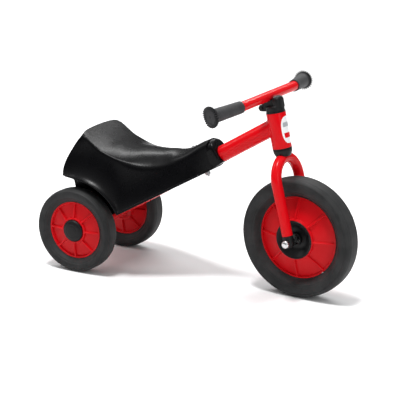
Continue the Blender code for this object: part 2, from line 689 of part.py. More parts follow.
def seat_fixings(shell):
    """The bolt through neck and main tube, with its nut, and the screws at the brackets."""
    across = Vector((-MAIN_DIR.z, 0, MAIN_DIR.x))
    foot = REAR_AXLE + MAIN_DIR * NECK_BOLT_ALONG
    hole_r = NECK_BOLT_R + 0.2 * MM
    for obj, word in ((shell, "shell"), (bpy.data.objects["main_tube"], "tube")):
        cut(obj, rod(hole_r, foot - across * 0.06, foot + across * 0.08, 20), "bolt_hole_" + word)
    seat = NECK_BOLT_SEAT
    cut(shell, rod(7.2 * MM, foot + across * (seat - GAP), foot + across * (seat + 20 * MM), 20), "bolt_seat")
    profile = [(0, -29 * MM), (NECK_BOLT_R, -29 * MM), (NECK_BOLT_R, seat), (6.5 * MM, seat),
               (6.2 * MM, seat + 1.5 * MM), (4.2 * MM, seat + 3 * MM), (0, seat + 3.5 * MM)]
    add_object("neck_bolt", turned(profile, 24, foot, across), "zinc_steel", foot)
    washer = [(hole_r, -19.1 * MM), (7 * MM, -19.1 * MM), (7 * MM, -17.6 * MM), (hole_r, -17.6 * MM)]
    add_object("neck_washer", turned(washer, 24, foot, across), "zinc_steel", foot)
    nut_r = clear_of(NECK_BOLT_R, 6)
    nut = [(nut_r, -25 * MM), (5.8 * MM, -25 * MM), (5.8 * MM, -19.4 * MM), (nut_r, -19.4 * MM)]
    add_object("neck_nut", turned(nut, 6, foot, across), "zinc_steel", foot)
    for side, word in ((1, "left"), (-1, "right")):
        at = Vector((REAR_X + 26 * MM, 0, REAR_Z + 32 * MM))
        drill = rod(2.2 * MM, at + Vector((0, side * 0.055, 0)), at + Vector((0, side * 0.08, 0)), 16)
        cut(bpy.data.objects["seat_bracket_" + word], drill, "screw_hole_bracket_" + word)
        drill = rod(2.2 * MM, at + Vector((0, side * 0.055, 0)), at + Vector((0, side * 0.08, 0)), 16)
        cut(shell, drill, "screw_hole_shell_" + word)
        head = WELL_OUT + GAP
        profile = [(0, 61 * MM), (2 * MM, 61 * MM), (2 * MM, head), (4.2 * MM, head),
                   (4 * MM, head + 1.2 * MM), (0, head + 2.2 * MM)]
        bm = turned([(r, a * side) for r, a in profile], 20, at, (0, 1, 0))
        add_object("bracket_screw_" + word, bm, "zinc_steel", at)


# ---------------------------------------------------------------- steering

ARCH_TOP = 21 * MM                        # fork arch centre line, below the head tube
STEERER_R = 12.5 * MM
STEERER_BORE = clear_of(STEERER_R, 32)
STEERER_ABOVE_HEAD = 11.8 * MM
STEERER_BELOW_HEAD = 17 * MM
FORK_LEG_STOP = 15 * MM                   # the tube ends this far above the axle
BAR_SHORT_OF_GRIP_END = 5 * MM
CUP_TOP = 2.6 * MM                        # crown cup, below the head tube
CUP_LENGTH = 15 * MM


def arc_points(centre, first, second, radius, start, stop, count):
    """Points of an arc in the plane of two unit directions."""
    points = []
    for k in range(count + 1):
        angle = start + (stop - start) * k / count
        points.append(centre + (first * math.cos(angle) + second * math.sin(angle)) * radius)
    return points


def headset():
    for word, base, sign in (("lower", HEAD_BOTTOM, -1), ("upper", HEAD_TOP, 1)):
        inside, flange = -10 * MM, 2.2 * MM
        profile = [(STEERER_BORE, inside), (16.2 * MM, inside), (16.2 * MM, GAP), (HEAD_TUBE_R, GAP),
                   (HEAD_TUBE_R, flange), (STEERER_BORE, flange)]
        bm = turned([(r, a * sign) for r, a in profile], 32, base, UP_HEAD)
        add_object("headset_bush_" + word, bm, "black_plastic", base)


def fork(steer):
    side = Vector((0, 1, 0))
    arch_centre = HEAD_BOTTOM - UP_HEAD * (ARCH_TOP + FORK_HALF_SPAN)
    arch = arc_points(arch_centre, side, UP_HEAD, FORK_HALF_SPAN, 0, math.pi, 12)
    ends = [FRONT_AXLE + side * FORK_HALF_SPAN, FRONT_AXLE - side * FORK_HALF_SPAN]
    leg = (ends[0] - arch[0]).normalized()
    path = [ends[0] - leg * FORK_LEG_STOP] + arch + [ends[1] - leg * FORK_LEG_STOP]
    across = side.cross(leg)
    fork_tube = swept(path, FORK_TUBE_R, FORK_TUBE_R - WALL, across, 14)
    fork_obj = add_object("fork", fork_tube, "red_paint", HEAD_BOTTOM, steer)
    hole_foot = HEAD_BOTTOM - UP_HEAD * (STEERER_BELOW_HEAD + GAP)
    cut(fork_obj, rod(STEERER_R + GAP, HEAD_BOTTOM + UP_HEAD * 0.02, hole_foot, 24),
        "steerer_cutter")
    low = HEAD_BOTTOM - UP_HEAD * STEERER_BELOW_HEAD
    high = HEAD_TOP + UP_HEAD * STEERER_ABOVE_HEAD
    add_object("steerer_tube", tube(STEERER_R, STEERER_R - WALL, low, high, 24), "zinc_steel", low, steer)

    # crown cup: a black collar from the lower bush down over the arch
    top, low_end = -CUP_TOP, -CUP_TOP - CUP_LENGTH
    profile = [(STEERER_R + GAP, top), (19.5 * MM, top), (19 * MM, top - 6 * MM), (15 * MM, low_end),
               (STEERER_R + GAP, low_end)]
    cup = turned(profile, 32, HEAD_BOTTOM, UP_HEAD)
    cup = add_object("crown_cup", cup, "black_plastic", HEAD_BOTTOM, steer)
    cut(cup, swept(arch, FORK_TUBE_R + GAP, 0, across, 20), "arch_cutter")

    # end pieces of the legs, with the axle through them
    for sign, word in ((1, "left"), (-1, "right")):
        centre = FRONT_AXLE + side * sign * FORK_HALF_SPAN
        up = -leg
        rows = []
        for along, half_x, half_y in ((FORK_LEG_STOP - GAP, 10.8, 10.5), (9 * MM, 11.8, 11), (0, 12.2, 11),
                                      (-7 * MM, 10, 10), (-11 * MM, 6, 8)):
            rows.append((along, half_x * MM, half_y * MM))
        bm = bmesh.new()
        rings = []
        for along, half_x, half_y in rows:
            ring = []
            for k in range(20):
                angle = 2 * math.pi * k / 20
                offset = across * half_x * math.cos(angle) + side * half_y * math.sin(angle)
                ring.append(bm.verts.new(centre + up * along + offset))
            rings.append(ring)
        for here, there in zip(rings, rings[1:]):
            for k in range(20):
                n = (k + 1) % 20
                bm.faces.new((here[k], here[n], there[n], there[k]))
        bm.faces.new(rings[0])
        bm.faces.new(list(reversed(rings[-1])))
        end_piece = add_object("fork_end_" + word, bm, "black_plastic", centre, steer)
        hole = rod(AXLE_R + 0.1 * MM, FRONT_AXLE - side * 0.08, FRONT_AXLE + side * 0.08, 20)
        cut(end_piece, hole, "axle_hole_" + word)


def front_axle(steer):
    side = Vector((0, 1, 0))
    inner = FORK_HALF_SPAN - 11.4 * MM
    outer = FORK_HALF_SPAN + 11.4 * MM
    reach = outer + 6.5 * MM
    bm = rod(AXLE_R, FRONT_AXLE - side * reach, FRONT_AXLE + side * reach, 24, 0.8 * MM)
    add_object("front_axle_rod", bm, "zinc_steel", FRONT_AXLE, steer)
    hub = FRONT_HUB_HALF + 2.5 * MM
    for sign, word in ((1, "left"), (-1, "right")):
        profile = [(AXLE_BORE, hub), (8 * MM, hub), (8 * MM, inner), (AXLE_BORE, inner)]
        bm = turned([(r, a * sign) for r, a in profile], SMALL_FACETS, FRONT_AXLE, side)
        add_object("front_spacer_" + word, bm, "zinc_steel", FRONT_AXLE, steer)
        cap = reach + GAP
        profile = [(AXLE_BORE, outer), (7 * MM, outer), (7 * MM, outer + 4 * MM),
                   (6.4 * MM, outer + 5.5 * MM), (5.4 * MM, cap + 0.8 * MM), (2.6 * MM, cap + 2 * MM),
                   (0, cap + 2.2 * MM), (0, cap), (AXLE_BORE, cap)]
        bm = turned([(r, a * sign) for r, a in profile], SMALL_FACETS, FRONT_AXLE, side)
        add_object("front_cap_nut_" + word, bm, "zinc_steel", FRONT_AXLE, steer)


def capsule(centre, axis, half_x, half_y, low, high, segments=20):
    """An upright oval post with a rounded top."""
    bm = bmesh.new()
    across = Vector((0, 1, 0))
    ahead = across.cross(axis).normalized()
    rings = []
    steps = [(low, 1.0)] + [(high - half_x * (1 - math.sin(a)), math.cos(a))
                            for a in (math.radians(d) for d in (0, 25, 48, 68, 80))]
    for along, share in steps:
        ring = []
        for k in range(segments):
            angle = 2 * math.pi * k / segments
            offset = ahead * half_x * math.cos(angle) + across * half_y * math.sin(angle)
            ring.append(bm.verts.new(centre + axis * along + offset * share))
        rings.append(ring)
    for here, there in zip(rings, rings[1:]):
        for k in range(segments):
            n = (k + 1) % segments
            bm.faces.new((here[k], here[n], there[n], there[k]))
    bm.faces.new(rings[0])
    bm.faces.new(list(reversed(rings[-1])))
    return bm


def stem(steer):
    """Collar on the steerer with a rounded hump in front, a cradle for the bar and a clamp arm behind."""
    side = Vector((0, 1, 0))
    base = HEAD_TOP + UP_HEAD * 2.6 * MM
    profile = [(STEERER_R + GAP, 0), (18.5 * MM, 0), (19 * MM, 1.5 * MM), (19 * MM, 10 * MM),
               (17.5 * MM, 12 * MM), (0, 12 * MM), (0, 9.6 * MM), (STEERER_R + GAP, 9.6 * MM)]
    body = add_object("stem", turned(profile, 32, base, UP_HEAD), "black_plastic", HEAD_TOP, steer)
    hump_at = HEAD_TOP + Vector((10.3 * MM, 0, 0))
    cut(body, capsule(hump_at, UP_HEAD, 9 * MM, 15 * MM, 15.2 * MM, 36 * MM), "stem_hump", "UNION")
    arm_half = 6.8 * MM
    arm_end = HEAD_TOP + Vector((-29.9 * MM, 0, 5.5 * MM))
    near_x = HEAD_TOP.x - 16.6 * MM
    outline = [(near_x, arm_end.z - arm_half + 1.6 * MM), (near_x, arm_end.z + arm_half)]
    for k in range(9):
        angle = math.radians(90 + 180 * k / 8)
        outline.append((arm_end.x + arm_half * math.cos(angle), arm_end.z + arm_half * math.sin(angle)))
    cut(body, plate(outline, -arm_half, arm_half), "stem_arm", "UNION")
    cradle = ((-30, 6.6), (3, 14), (3, 23), (-4, 26), (-28.5, 24))
    outline = [(HEAD_TOP.x + x * MM, HEAD_TOP.z + z * MM) for x, z in cradle]
    cut(body, plate(outline, -6.4 * MM, 6.4 * MM), "stem_cradle", "UNION")
    cut(body, rod(BAR_R + GAP, BAR_CENTRE - side * 0.05, BAR_CENTRE + side * 0.05, 32), "bar_seat")
    bolt_r = 2.2 * MM
    cut(body, rod(bolt_r + 0.2 * MM, arm_end - side * 0.02, arm_end + side * 0.02, 16), "clamp_bolt_hole")
    head = arm_half + GAP
    profile = [(0, -head - 3.6 * MM), (bolt_r, -head - 3.6 * MM), (bolt_r, head), (3.8 * MM, head),
               (3.8 * MM, head + 1.8 * MM), (3 * MM, head + 2.4 * MM), (0, head + 2.4 * MM)]
    bm = turned([(r, -a) for r, a in profile], 20, arm_end, side)
    add_object("bar_clamp_bolt", bm, "black_plastic", arm_end, steer)
    nut_r = clear_of(bolt_r, 6)
    profile = [(nut_r, head), (4.2 * MM, head), (4.2 * MM, head + 3.2 * MM), (nut_r, head + 3.2 * MM)]
    add_object("bar_clamp_nut", turned(profile, 6, arm_end, side), "black_plastic", arm_end, steer)


def bar_and_grips(steer):
    """One tube bent back and down at the grips; a grip with a safety flange on each end."""
    side = Vector((0, 1, 0))
    back = Vector((-math.tan(GRIP_SWEEP), 0, -math.tan(GRIP_DROP)))
    turn = math.atan(back.length)
    back.normalize()
    bend_r = 35 * MM
    tangent = bend_r * math.tan(turn / 2)
    grip_at = {}
    path = []
    for sign, word in ((-1, "right"), (1, "left")):
        out = (side * sign * math.cos(turn) + back * math.sin(turn)).normalized()
        corner = BAR_CENTRE + side * sign * (BAR_BETWEEN_GRIPS / 2 - tangent)
        centre = corner - side * sign * tangent + back * bend_r
        arc = arc_points(centre, -back, side * sign, bend_r, 0, turn, 4)
        grip_at[word] = (arc[-1], out)
        half = arc + [arc[-1] + out * (GRIP_LENGTH - BAR_SHORT_OF_GRIP_END)]
        path += half if sign > 0 else list(reversed(half))
    bar = swept(path, BAR_R, BAR_R - 1.8 * MM, back.cross(side), 20)
    add_object("handlebar", bar, "red_paint", BAR_CENTRE, steer)
    fit, flange = BAR_R + GAP, 22 * MM
    stop = GRIP_LENGTH - BAR_SHORT_OF_GRIP_END + GAP
    profile = [(fit, 0), (12.4 * MM, 0), (14.4 * MM, GRIP_LENGTH - 11 * MM), (flange, GRIP_LENGTH - 6 * MM),
               (flange, GRIP_LENGTH - 2.5 * MM), (flange - 2 * MM, GRIP_LENGTH), (0, GRIP_LENGTH), (0, stop),
               (fit, stop)]
    for word, (start, out) in grip_at.items():
        add_object("grip_" + word, turned(profile, ROUND_FACETS, start, out), "grip_rubber", start, steer)


def main():
    clear_scene()
    frame()
    shell = seat_shell()
    seat_fixings(shell)
    headset()
    steer = add_empty("steering_axis", HEAD_BOTTOM)
    fork(steer)
    front_axle(steer)
    stem(steer)
    bar_and_grips(steer)
    front_wheel(steer)
    steer.rotation_mode = "QUATERNION"
    steer.rotation_quaternion = Quaternion(UP_HEAD, STEER_AT_REST)
    for side, word in ((1, "left"), (-1, "right")):
        rear_wheel(side, word)


main()
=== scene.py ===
"""Toddler ride-on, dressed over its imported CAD: fine meshes and procedural finishes in the row frame."""
import json
import math

import bmesh
import bpy
from mathutils import Matrix, Vector


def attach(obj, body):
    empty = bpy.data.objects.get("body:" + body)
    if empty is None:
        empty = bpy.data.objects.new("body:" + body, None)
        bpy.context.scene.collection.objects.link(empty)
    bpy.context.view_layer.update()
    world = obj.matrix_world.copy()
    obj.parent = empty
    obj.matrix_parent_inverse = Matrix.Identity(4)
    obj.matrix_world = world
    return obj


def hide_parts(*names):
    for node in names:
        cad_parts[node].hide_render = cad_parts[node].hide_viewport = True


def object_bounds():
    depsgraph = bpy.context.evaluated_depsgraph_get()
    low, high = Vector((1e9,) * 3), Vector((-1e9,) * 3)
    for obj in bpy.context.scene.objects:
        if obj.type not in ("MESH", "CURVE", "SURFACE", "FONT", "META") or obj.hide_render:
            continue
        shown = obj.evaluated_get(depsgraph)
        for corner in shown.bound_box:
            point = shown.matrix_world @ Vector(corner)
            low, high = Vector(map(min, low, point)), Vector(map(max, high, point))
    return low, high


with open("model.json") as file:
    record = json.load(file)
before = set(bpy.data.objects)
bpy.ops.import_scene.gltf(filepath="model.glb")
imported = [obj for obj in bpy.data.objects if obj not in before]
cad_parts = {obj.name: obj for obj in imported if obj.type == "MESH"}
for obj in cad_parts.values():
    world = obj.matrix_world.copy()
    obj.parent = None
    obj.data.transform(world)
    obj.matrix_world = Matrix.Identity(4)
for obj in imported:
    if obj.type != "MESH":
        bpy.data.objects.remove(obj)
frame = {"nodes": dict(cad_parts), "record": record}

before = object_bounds()
MM = 0.001
JOINTS = {j["name"]: j for j in frame["record"]["behaviour"]["joints"]}
SLOTS = {s["node"]: s["material_slot"] for s in frame["record"]["subparts"]}
SIDE = Vector((0, 1, 0))

# ---------------------------------------------------------------- measures shared with the CAD
HEAD_BOTTOM = Vector(JOINTS["steering"]["pos_m"])
UP_HEAD = Vector(JOINTS["steering"]["axis"]).normalized()
WHEEL_AXIS = Vector(JOINTS["front_wheel_spin"]["axis"]).normalized()
REST = math.atan2(UP_HEAD.dot(SIDE.cross(WHEEL_AXIS)), SIDE.dot(WHEEL_AXIS))
TO_HEAD = Matrix.Translation(HEAD_BOTTOM)
STEERED = TO_HEAD @ Matrix.Rotation(REST, 4, UP_HEAD) @ TO_HEAD.inverted()
FRONT_AXLE = STEERED.inverted() @ Vector(JOINTS["front_wheel_spin"]["pos_m"])
REAR_LEFT = Vector(JOINTS["rear_wheel_left_spin"]["pos_m"])
REAR_RIGHT = Vector(JOINTS["rear_wheel_right_spin"]["pos_m"])
REAR_AXLE = Vector((REAR_LEFT.x, 0, REAR_LEFT.z))
REAR_X = REAR_AXLE.x
REAR_Z = REAR_AXLE.z
FRONT_WHEEL_R = 125 * MM
FRONT_TYRE_W = 48 * MM
FRONT_RIM_R = 86 * MM
FRONT_FACE_HALF = 7 * MM
REAR_WHEEL_R = 90 * MM
REAR_TYRE_W = 39 * MM
REAR_RIM_R = 61.5 * MM
REAR_FACE_HALF = 8.5 * MM
BUSH_SEAT_R = 8 * MM
HEAD_TUBE_R = 20 * MM
HEAD_LENGTH = 72.5 * MM
HEAD_TOP = HEAD_BOTTOM + UP_HEAD * HEAD_LENGTH
MAIN_TUBE_R = 17 * MM
MAIN_SLOPE = math.radians(31.9)
MAIN_DIR = Vector((math.cos(MAIN_SLOPE), 0, math.sin(MAIN_SLOPE)))
MAIN_UP = Vector((-MAIN_DIR.z, 0, MAIN_DIR.x))
BAR_CENTRE = HEAD_TOP + Vector((-17.6 * MM, 0, 31 * MM))
BAR_R = 10 * MM
BAR_BETWEEN_GRIPS = 212 * MM
GRIP_LENGTH = 85 * MM
GRIP_SWEEP = math.radians(14.5)
GRIP_DROP = math.radians(4.5)
STEERER_R = 12.5 * MM
FORK_R = 11 * MM
FORK_HALF = 45 * MM
GAP = 0.3 * MM


# ---------------------------------------------------------------- finishes
def nodes_of(material):
    return material.node_tree.nodes, material.node_tree.links


def finish(name, colour, rough, metallic=0.0, coat=0.0, coat_rough=0.1, specular=0.5):
    material = bpy.data.materials.new(name)
    material.use_nodes = True
    shader = material.node_tree.nodes["Principled BSDF"]
    shader.inputs["Base Color"].default_value = (*colour, 1)
    shader.inputs["Roughness"].default_value = rough
    shader.inputs["Metallic"].default_value = metallic
    shader.inputs["Coat Weight"].default_value = coat
    shader.inputs["Coat Roughness"].default_value = coat_rough
    shader.inputs["Specular IOR Level"].default_value = specular
    return material


def vary(material, scale, low, high, detail=3.0):
    """Roughness wanders between two values over the surface."""
    nodes, links = nodes_of(material)
    where = nodes.new("ShaderNodeTexCoord")
    clouds = nodes.new("ShaderNodeTexNoise")
    clouds.inputs["Scale"].default_value = scale
    clouds.inputs["Detail"].default_value = detail
    spread = nodes.new("ShaderNodeMapRange")
    spread.inputs["From Min"].default_value = 0.3
    spread.inputs["From Max"].default_value = 0.7
    spread.inputs["To Min"].default_value = low
    spread.inputs["To Max"].default_value = high
    links.new(where.outputs["Object"], clouds.inputs["Vector"])
    links.new(clouds.outputs["Fac"], spread.inputs["Value"])
    links.new(spread.outputs["Result"], nodes["Principled BSDF"].inputs["Roughness"])


def tone(material, scale, dark, light):
    """Colour wanders between two close tones."""
    nodes, links = nodes_of(material)
    where = nodes.new("ShaderNodeTexCoord")
    clouds = nodes.new("ShaderNodeTexNoise")
    clouds.inputs["Scale"].default_value = scale
    clouds.inputs["Detail"].default_value = 5.0
    ramp = nodes.new("ShaderNodeValToRGB")
    ramp.color_ramp.elements[0].position = 0.35
    ramp.color_ramp.elements[0].color = (*dark, 1)
    ramp.color_ramp.elements[1].position = 0.68
    ramp.color_ramp.elements[1].color = (*light, 1)
    links.new(where.outputs["Object"], clouds.inputs["Vector"])
    links.new(clouds.outputs["Fac"], ramp.inputs["Fac"])
    links.new(ramp.outputs["Color"], nodes["Principled BSDF"].inputs["Base Color"])


def grain(material, kind, scale, depth, stretch=(1, 1, 1)):
    """Fine relief from a noise or cell pattern."""
    nodes, links = nodes_of(material)
    where = nodes.new("ShaderNodeTexCoord")
    stretched = nodes.new("ShaderNodeMapping")
    stretched.inputs["Scale"].default_value = stretch
    pattern = nodes.new(kind)
    pattern.inputs["Scale"].default_value = scale
    bump = nodes.new("ShaderNodeBump")
    bump.inputs["Strength"].default_value = 1.0
    bump.inputs["Distance"].default_value = depth
    out = "Distance" if kind == "ShaderNodeTexVoronoi" else "Fac"
    links.new(where.outputs["Object"], stretched.inputs["Vector"])
    links.new(stretched.outputs["Vector"], pattern.inputs["Vector"])
    links.new(pattern.outputs[out], bump.inputs["Height"])
    links.new(bump.outputs["Normal"], nodes["Principled BSDF"].inputs["Normal"])


RED = (0.62, 0.002, 0.006)
M = {
    "red_paint": finish("red_paint", RED, 0.22, specular=0.14),
    "red_plastic": finish("red_plastic", (0.56, 0.002, 0.006), 0.34, specular=0.16),
    "seat_plastic": finish("seat_plastic", (0.0015, 0.0015, 0.002), 0.26, specular=0.13),
    "black_trim": finish("black_trim", (0.004, 0.004, 0.0045), 0.38, specular=0.22),
    "grip_rubber": finish("grip_rubber", (0.03, 0.03, 0.032), 0.62, specular=0.35),
    "tyre_rubber": finish("tyre_rubber", (0.014, 0.0145, 0.015), 0.6, specular=0.25),
    "zinc_steel": finish("zinc_steel", (0.62, 0.62, 0.63), 0.28, metallic=1.0),
    "bush_plastic": finish("bush_plastic", (0.5, 0.5, 0.48), 0.45),
    "decal_white": finish("decal_white", (0.82, 0.82, 0.83), 0.3, coat=0.4),
    "decal_grey": finish("decal_grey", (0.36, 0.38, 0.40), 0.3, coat=0.4),
}
vary(M["red_paint"], 60, 0.18, 0.27)
vary(M["red_plastic"], 90, 0.34, 0.44)
vary(M["seat_plastic"], 45, 0.24, 0.31)
vary(M["black_trim"], 120, 0.36, 0.5)
vary(M["zinc_steel"], 400, 0.2, 0.36)
tone(M["tyre_rubber"], 30, (0.012, 0.0125, 0.013), (0.026, 0.0265, 0.027))
tone(M["grip_rubber"], 50, (0.022, 0.022, 0.024), (0.038, 0.038, 0.040))
grain(M["seat_plastic"], "ShaderNodeTexNoise", 900, 0.00004)
grain(M["tyre_rubber"], "ShaderNodeTexNoise", 700, 0.00025)
grain(M["grip_rubber"], "ShaderNodeTexVoronoi", 520, 0.0006)


# ---------------------------------------------------------------- mesh helpers
def add(name, bm, slot, body, replaces=(), steered=False, sharp=32, bevel=0.0, subdivide=0, material=None):
    """Make the piece, give it its finish, turn it with the steering at rest and let it ride on its body."""
    bmesh.ops.recalc_face_normals(bm, faces=bm.faces)
    mesh = bpy.data.meshes.new(name)
    if steered:
        bm.transform(STEERED)
    bm.to_mesh(mesh)
    bm.free()
    mesh.shade_smooth()
    if not subdivide:
        mesh.set_sharp_from_angle(angle=math.radians(sharp))
    mesh.materials.append(M[material or slot])
    obj = bpy.data.objects.new(name, mesh)
    bpy.context.collection.objects.link(obj)
    if bevel:
        edge = obj.modifiers.new("edge", "BEVEL")
        edge.width = bevel
        edge.segments = 3
        edge.limit_method = "ANGLE"
        edge.angle_limit = math.radians(38)
    if subdivide:
        smooth = obj.modifiers.new("smooth", "SUBSURF")
        smooth.levels = subdivide
        smooth.render_levels = subdivide
    bpy.context.view_layer.update()
    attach(obj, body)
    for node in replaces:
        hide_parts(node)
    return obj


def square_to(axis):
    first = Vector((1, 0, 0)) if abs(axis.y) > 0.9 else axis.orthogonal()
    return (first - axis * first.dot(axis)).normalized()


def rounded(corners, steps=4):
    """Closed outline of (r, along, fillet) corners with each corner rounded by its fillet."""
    out = []
    count = len(corners)
    for i, (r, a, fillet) in enumerate(corners):
        here = Vector((r, a))
        if not fillet:
            out.append((r, a))
            continue
        prev, after = Vector(corners[i - 1][:2]), Vector(corners[(i + 1) % count][:2])
        start = here + (prev - here).normalized() * min(fillet, (prev - here).length * 0.48)
        end = here + (after - here).normalized() * min(fillet, (after - here).length * 0.48)
        for k in range(steps + 1):
            t = k / steps
            point = start * (1 - t) ** 2 + here * 2 * t * (1 - t) + end * t * t
            out.append((point.x, point.y))
    return out


def revolve(profile, segments, centre, axis, swell=None):
    """Turn a closed (radius, along) outline about an axis; swell moves its points by angle."""
    bm = bmesh.new()
    axis = Vector(axis).normalized()
    side = square_to(axis)
    other = axis.cross(side)
    centre = Vector(centre)
    poles = {j: bm.verts.new(centre + axis * a) for j, (r, a) in enumerate(profile) if r < 1e-7}
    rings = []
    for k in range(segments):
        angle = 2 * math.pi * k / segments
        out = side * math.cos(angle) + other * math.sin(angle)
        ring = []
        for j, (r, a) in enumerate(profile):
            if j in poles:
                ring.append(poles[j])
                continue
            rr, aa = swell(r, a, angle) if swell else (r, a)
            ring.append(bm.verts.new(centre + out * rr + axis * aa))
        rings.append(ring)
    count = len(profile)
    for k in range(segments):
        here, there = rings[k], rings[(k + 1) % segments]
        for j in range(count):
            n = (j + 1) % count
            corners = list(dict.fromkeys((here[j], here[n], there[n], there[j])))
            if len(corners) > 2:
                bm.faces.new(corners)
    return bm


def flipped(profile, sign):
    return [(r, a * sign) for r, a in profile]


def finer(outline, longest, to_the_axis):
    """The same outline with its straight stretches cut shorter, and those that end on the axis if asked."""
    out = []
    for (r0, a0), (r1, a1) in zip(outline, outline[1:] + outline[:1]):
        cut = to_the_axis or min(r0, r1) > 1e-7
        steps = max(1, int(math.hypot(r1 - r0, a1 - a0) / longest)) if cut else 1
        out += [(r0 + (r1 - r0) * k / steps, a0 + (a1 - a0) * k / steps) for k in range(steps)]
    return out


def loft(rings, closed=False):
    """Skin rows of points into a body; each row is a closed loop."""
    bm = bmesh.new()
    rows = [[bm.verts.new(p) for p in ring] for ring in rings]
    pairs = list(zip(rows, rows[1:])) + ([(rows[-1], rows[0])] if closed else [])
    for here, there in pairs:
        for k in range(len(here)):
            n = (k + 1) % len(here)
            bm.faces.new((here[k], here[n], there[n], there[k]))
    if not closed:
        bm.faces.new(rows[0])
        bm.faces.new(list(reversed(rows[-1])))
    return bm


def pipe(path, radius, across, segments):
    """Round bar along a path that lies in one plane."""
    rings = []
    for i, point in enumerate(path):
        tangent = (path[min(i + 1, len(path) - 1)] - path[max(i - 1, 0)]).normalized()
        side = tangent.cross(across).normalized()
        up = side.cross(tangent).normalized()
        rings.append([point + (up * math.cos(a) + side * math.sin(a)) * radius
                      for a in (2 * math.pi * k / segments for k in range(segments))])
    return loft(rings)


def arc(centre, first, second, radius, start, stop, count):
    return [centre + (first * math.cos(a) + second * math.sin(a)) * radius
            for a in (start + (stop - start) * k / count for k in range(count + 1))]


def plate(outline, y_low, y_high):
    """Outline of (x, z) points given a thickness along Y."""
    return loft([[Vector((x, y, z)) for x, z in outline] for y in (y_low, y_high)])


def catmull(points, steps):
    out = []
    for i in range(len(points) - 1):
        p = [Vector(points[max(i - 1, 0)]), Vector(points[i]), Vector(points[i + 1]),
             Vector(points[min(i + 2, len(points) - 1)])]
        for k in range(steps):
            t = k / steps
            q = 0.5 * (2 * p[1] + (p[2] - p[0]) * t + (2 * p[0] - 5 * p[1] + 4 * p[2] - p[3]) * t * t
                       + (3 * p[1] - 3 * p[2] + p[3] - p[0]) * t ** 3)
            out.append((q.x, q.y))
    out.append(tuple(points[-1]))
    return out


# ---------------------------------------------------------------- wheels
def tyre(name, centre, radius, width, rim_r, face_half, body, steered):
    half = width / 2
    keys = [(rim_r + GAP, face_half - 2 * MM), (rim_r + 0.9 * MM, face_half + 0.4 * MM),
            (rim_r + 3 * MM, face_half + 1.6 * MM), (radius * 0.775, half * 0.78),
            (radius * 0.82, half * 0.92), (radius * 0.87, half * 0.985), (radius * 0.925, half * 0.99),
            (radius * 0.962, half * 0.9),
            (radius * 0.986, half * 0.7), (radius * 0.997, half * 0.42), (radius * 0.999, 0)]
    one_side = catmull(keys, 9)
    grooved = []
    for r, a in one_side:
        dent = 0.0
        for at in (0.80, 0.925):
            dent += 0.7 * MM * math.exp(-((r - radius * at) / (0.7 * MM)) ** 2)
        a -= dent if a > half * 0.6 else 0.0
        for at in (0.30, 0.66):
            r -= 0.6 * MM * math.exp(-((a - half * at) / (0.6 * MM)) ** 2) if r > radius * 0.96 else 0.0
        grooved.append((r, a))
    profile = grooved + [(r, -a) for r, a in reversed(grooved[:-1])]
    return add(name + "_fine", revolve(profile, 160, centre, SIDE), "tyre_rubber", body, [name], steered, 50)


def ribbed_rim(name, centre, bore, hub_r, hub_half, cone_r, cone_half, rim_r, face_half, body, steered):
    """Moulded rim: eight ribs on each dished face with sunk pockets between them."""
    ribs, rib_half, draft, pocket = 8, 1.5 * MM, 0.9 * MM, 4.5 * MM
    pocket_in, pocket_out = cone_r + 2.5 * MM, rim_r - 3.0 * MM

    def height(r):
        return cone_half + (face_half - cone_half) * max(0.0, (r - cone_r) / (rim_r - cone_r))

    rows = [(cone_r, 0), (pocket_in, 0), (pocket_in + draft, 1), ((pocket_in + pocket_out) / 2, 1),
            (pocket_out - draft, 1), (pocket_out, 0), (rim_r - 0.8 * MM, 0), (rim_r, -0.18)]
    pitch = 2 * math.pi / ribs
    columns = []
    for k in range(ribs):
        for offset in (-rib_half - draft, -rib_half, rib_half, rib_half + draft):
            columns.append((k, offset, 0.0, abs(offset) > rib_half + draft / 2))
        for step in range(1, 12):
            columns.append((k, rib_half + draft, step / 12, True))

    def angle_of(column, r):
        k, offset, share, _ = column
        lean = math.asin(offset / r)
        return k * pitch + lean + share * (pitch - 2 * lean)

    bm = bmesh.new()
    grid = {}
    for side in (1, -1):
        for i, column in enumerate(columns):
            for j, (r, deep) in enumerate(rows):
                angle = angle_of(column, r)
                h = height(r) - (pocket * deep if column[3] or deep < 0 else 0)
                grid[side, i, j] = bm.verts.new(
                    centre + Vector((r * math.cos(angle), side * h, r * math.sin(angle))))
    count, last = len(columns), len(rows) - 1
    for side in (1, -1):
        for i in range(count):
            n = (i + 1) % count
            for j in range(last):
                bm.faces.new((grid[side, i, j], grid[side, n, j], grid[side, n, j + 1], grid[side, i, j + 1]))
    for i in range(count):
        n = (i + 1) % count
        bm.faces.new((grid[1, i, last], grid[1, n, last], grid[-1, n, last], grid[-1, i, last]))
    ends = {}
    for side in (1, -1):
        previous = [grid[side, i, 0] for i in range(count)]
        for r in (hub_r, bore):
            ring = []
            for column in columns:
                angle = angle_of(column, cone_r)
                out = Vector((r * math.cos(angle), side * hub_half, r * math.sin(angle)))
                ring.append(bm.verts.new(centre + out))
            for i in range(count):
                n = (i + 1) % count
                bm.faces.new((previous[i], previous[n], ring[n], ring[i]))
            previous = ring
        ends[side] = previous
    for i in range(count):
        n = (i + 1) % count
        bm.faces.new((ends[1][i], ends[1][n], ends[-1][n], ends[-1][i]))
    return add(name + "_fine", bm, "red_plastic", body, [name], steered, 30, bevel=0.45 * MM)


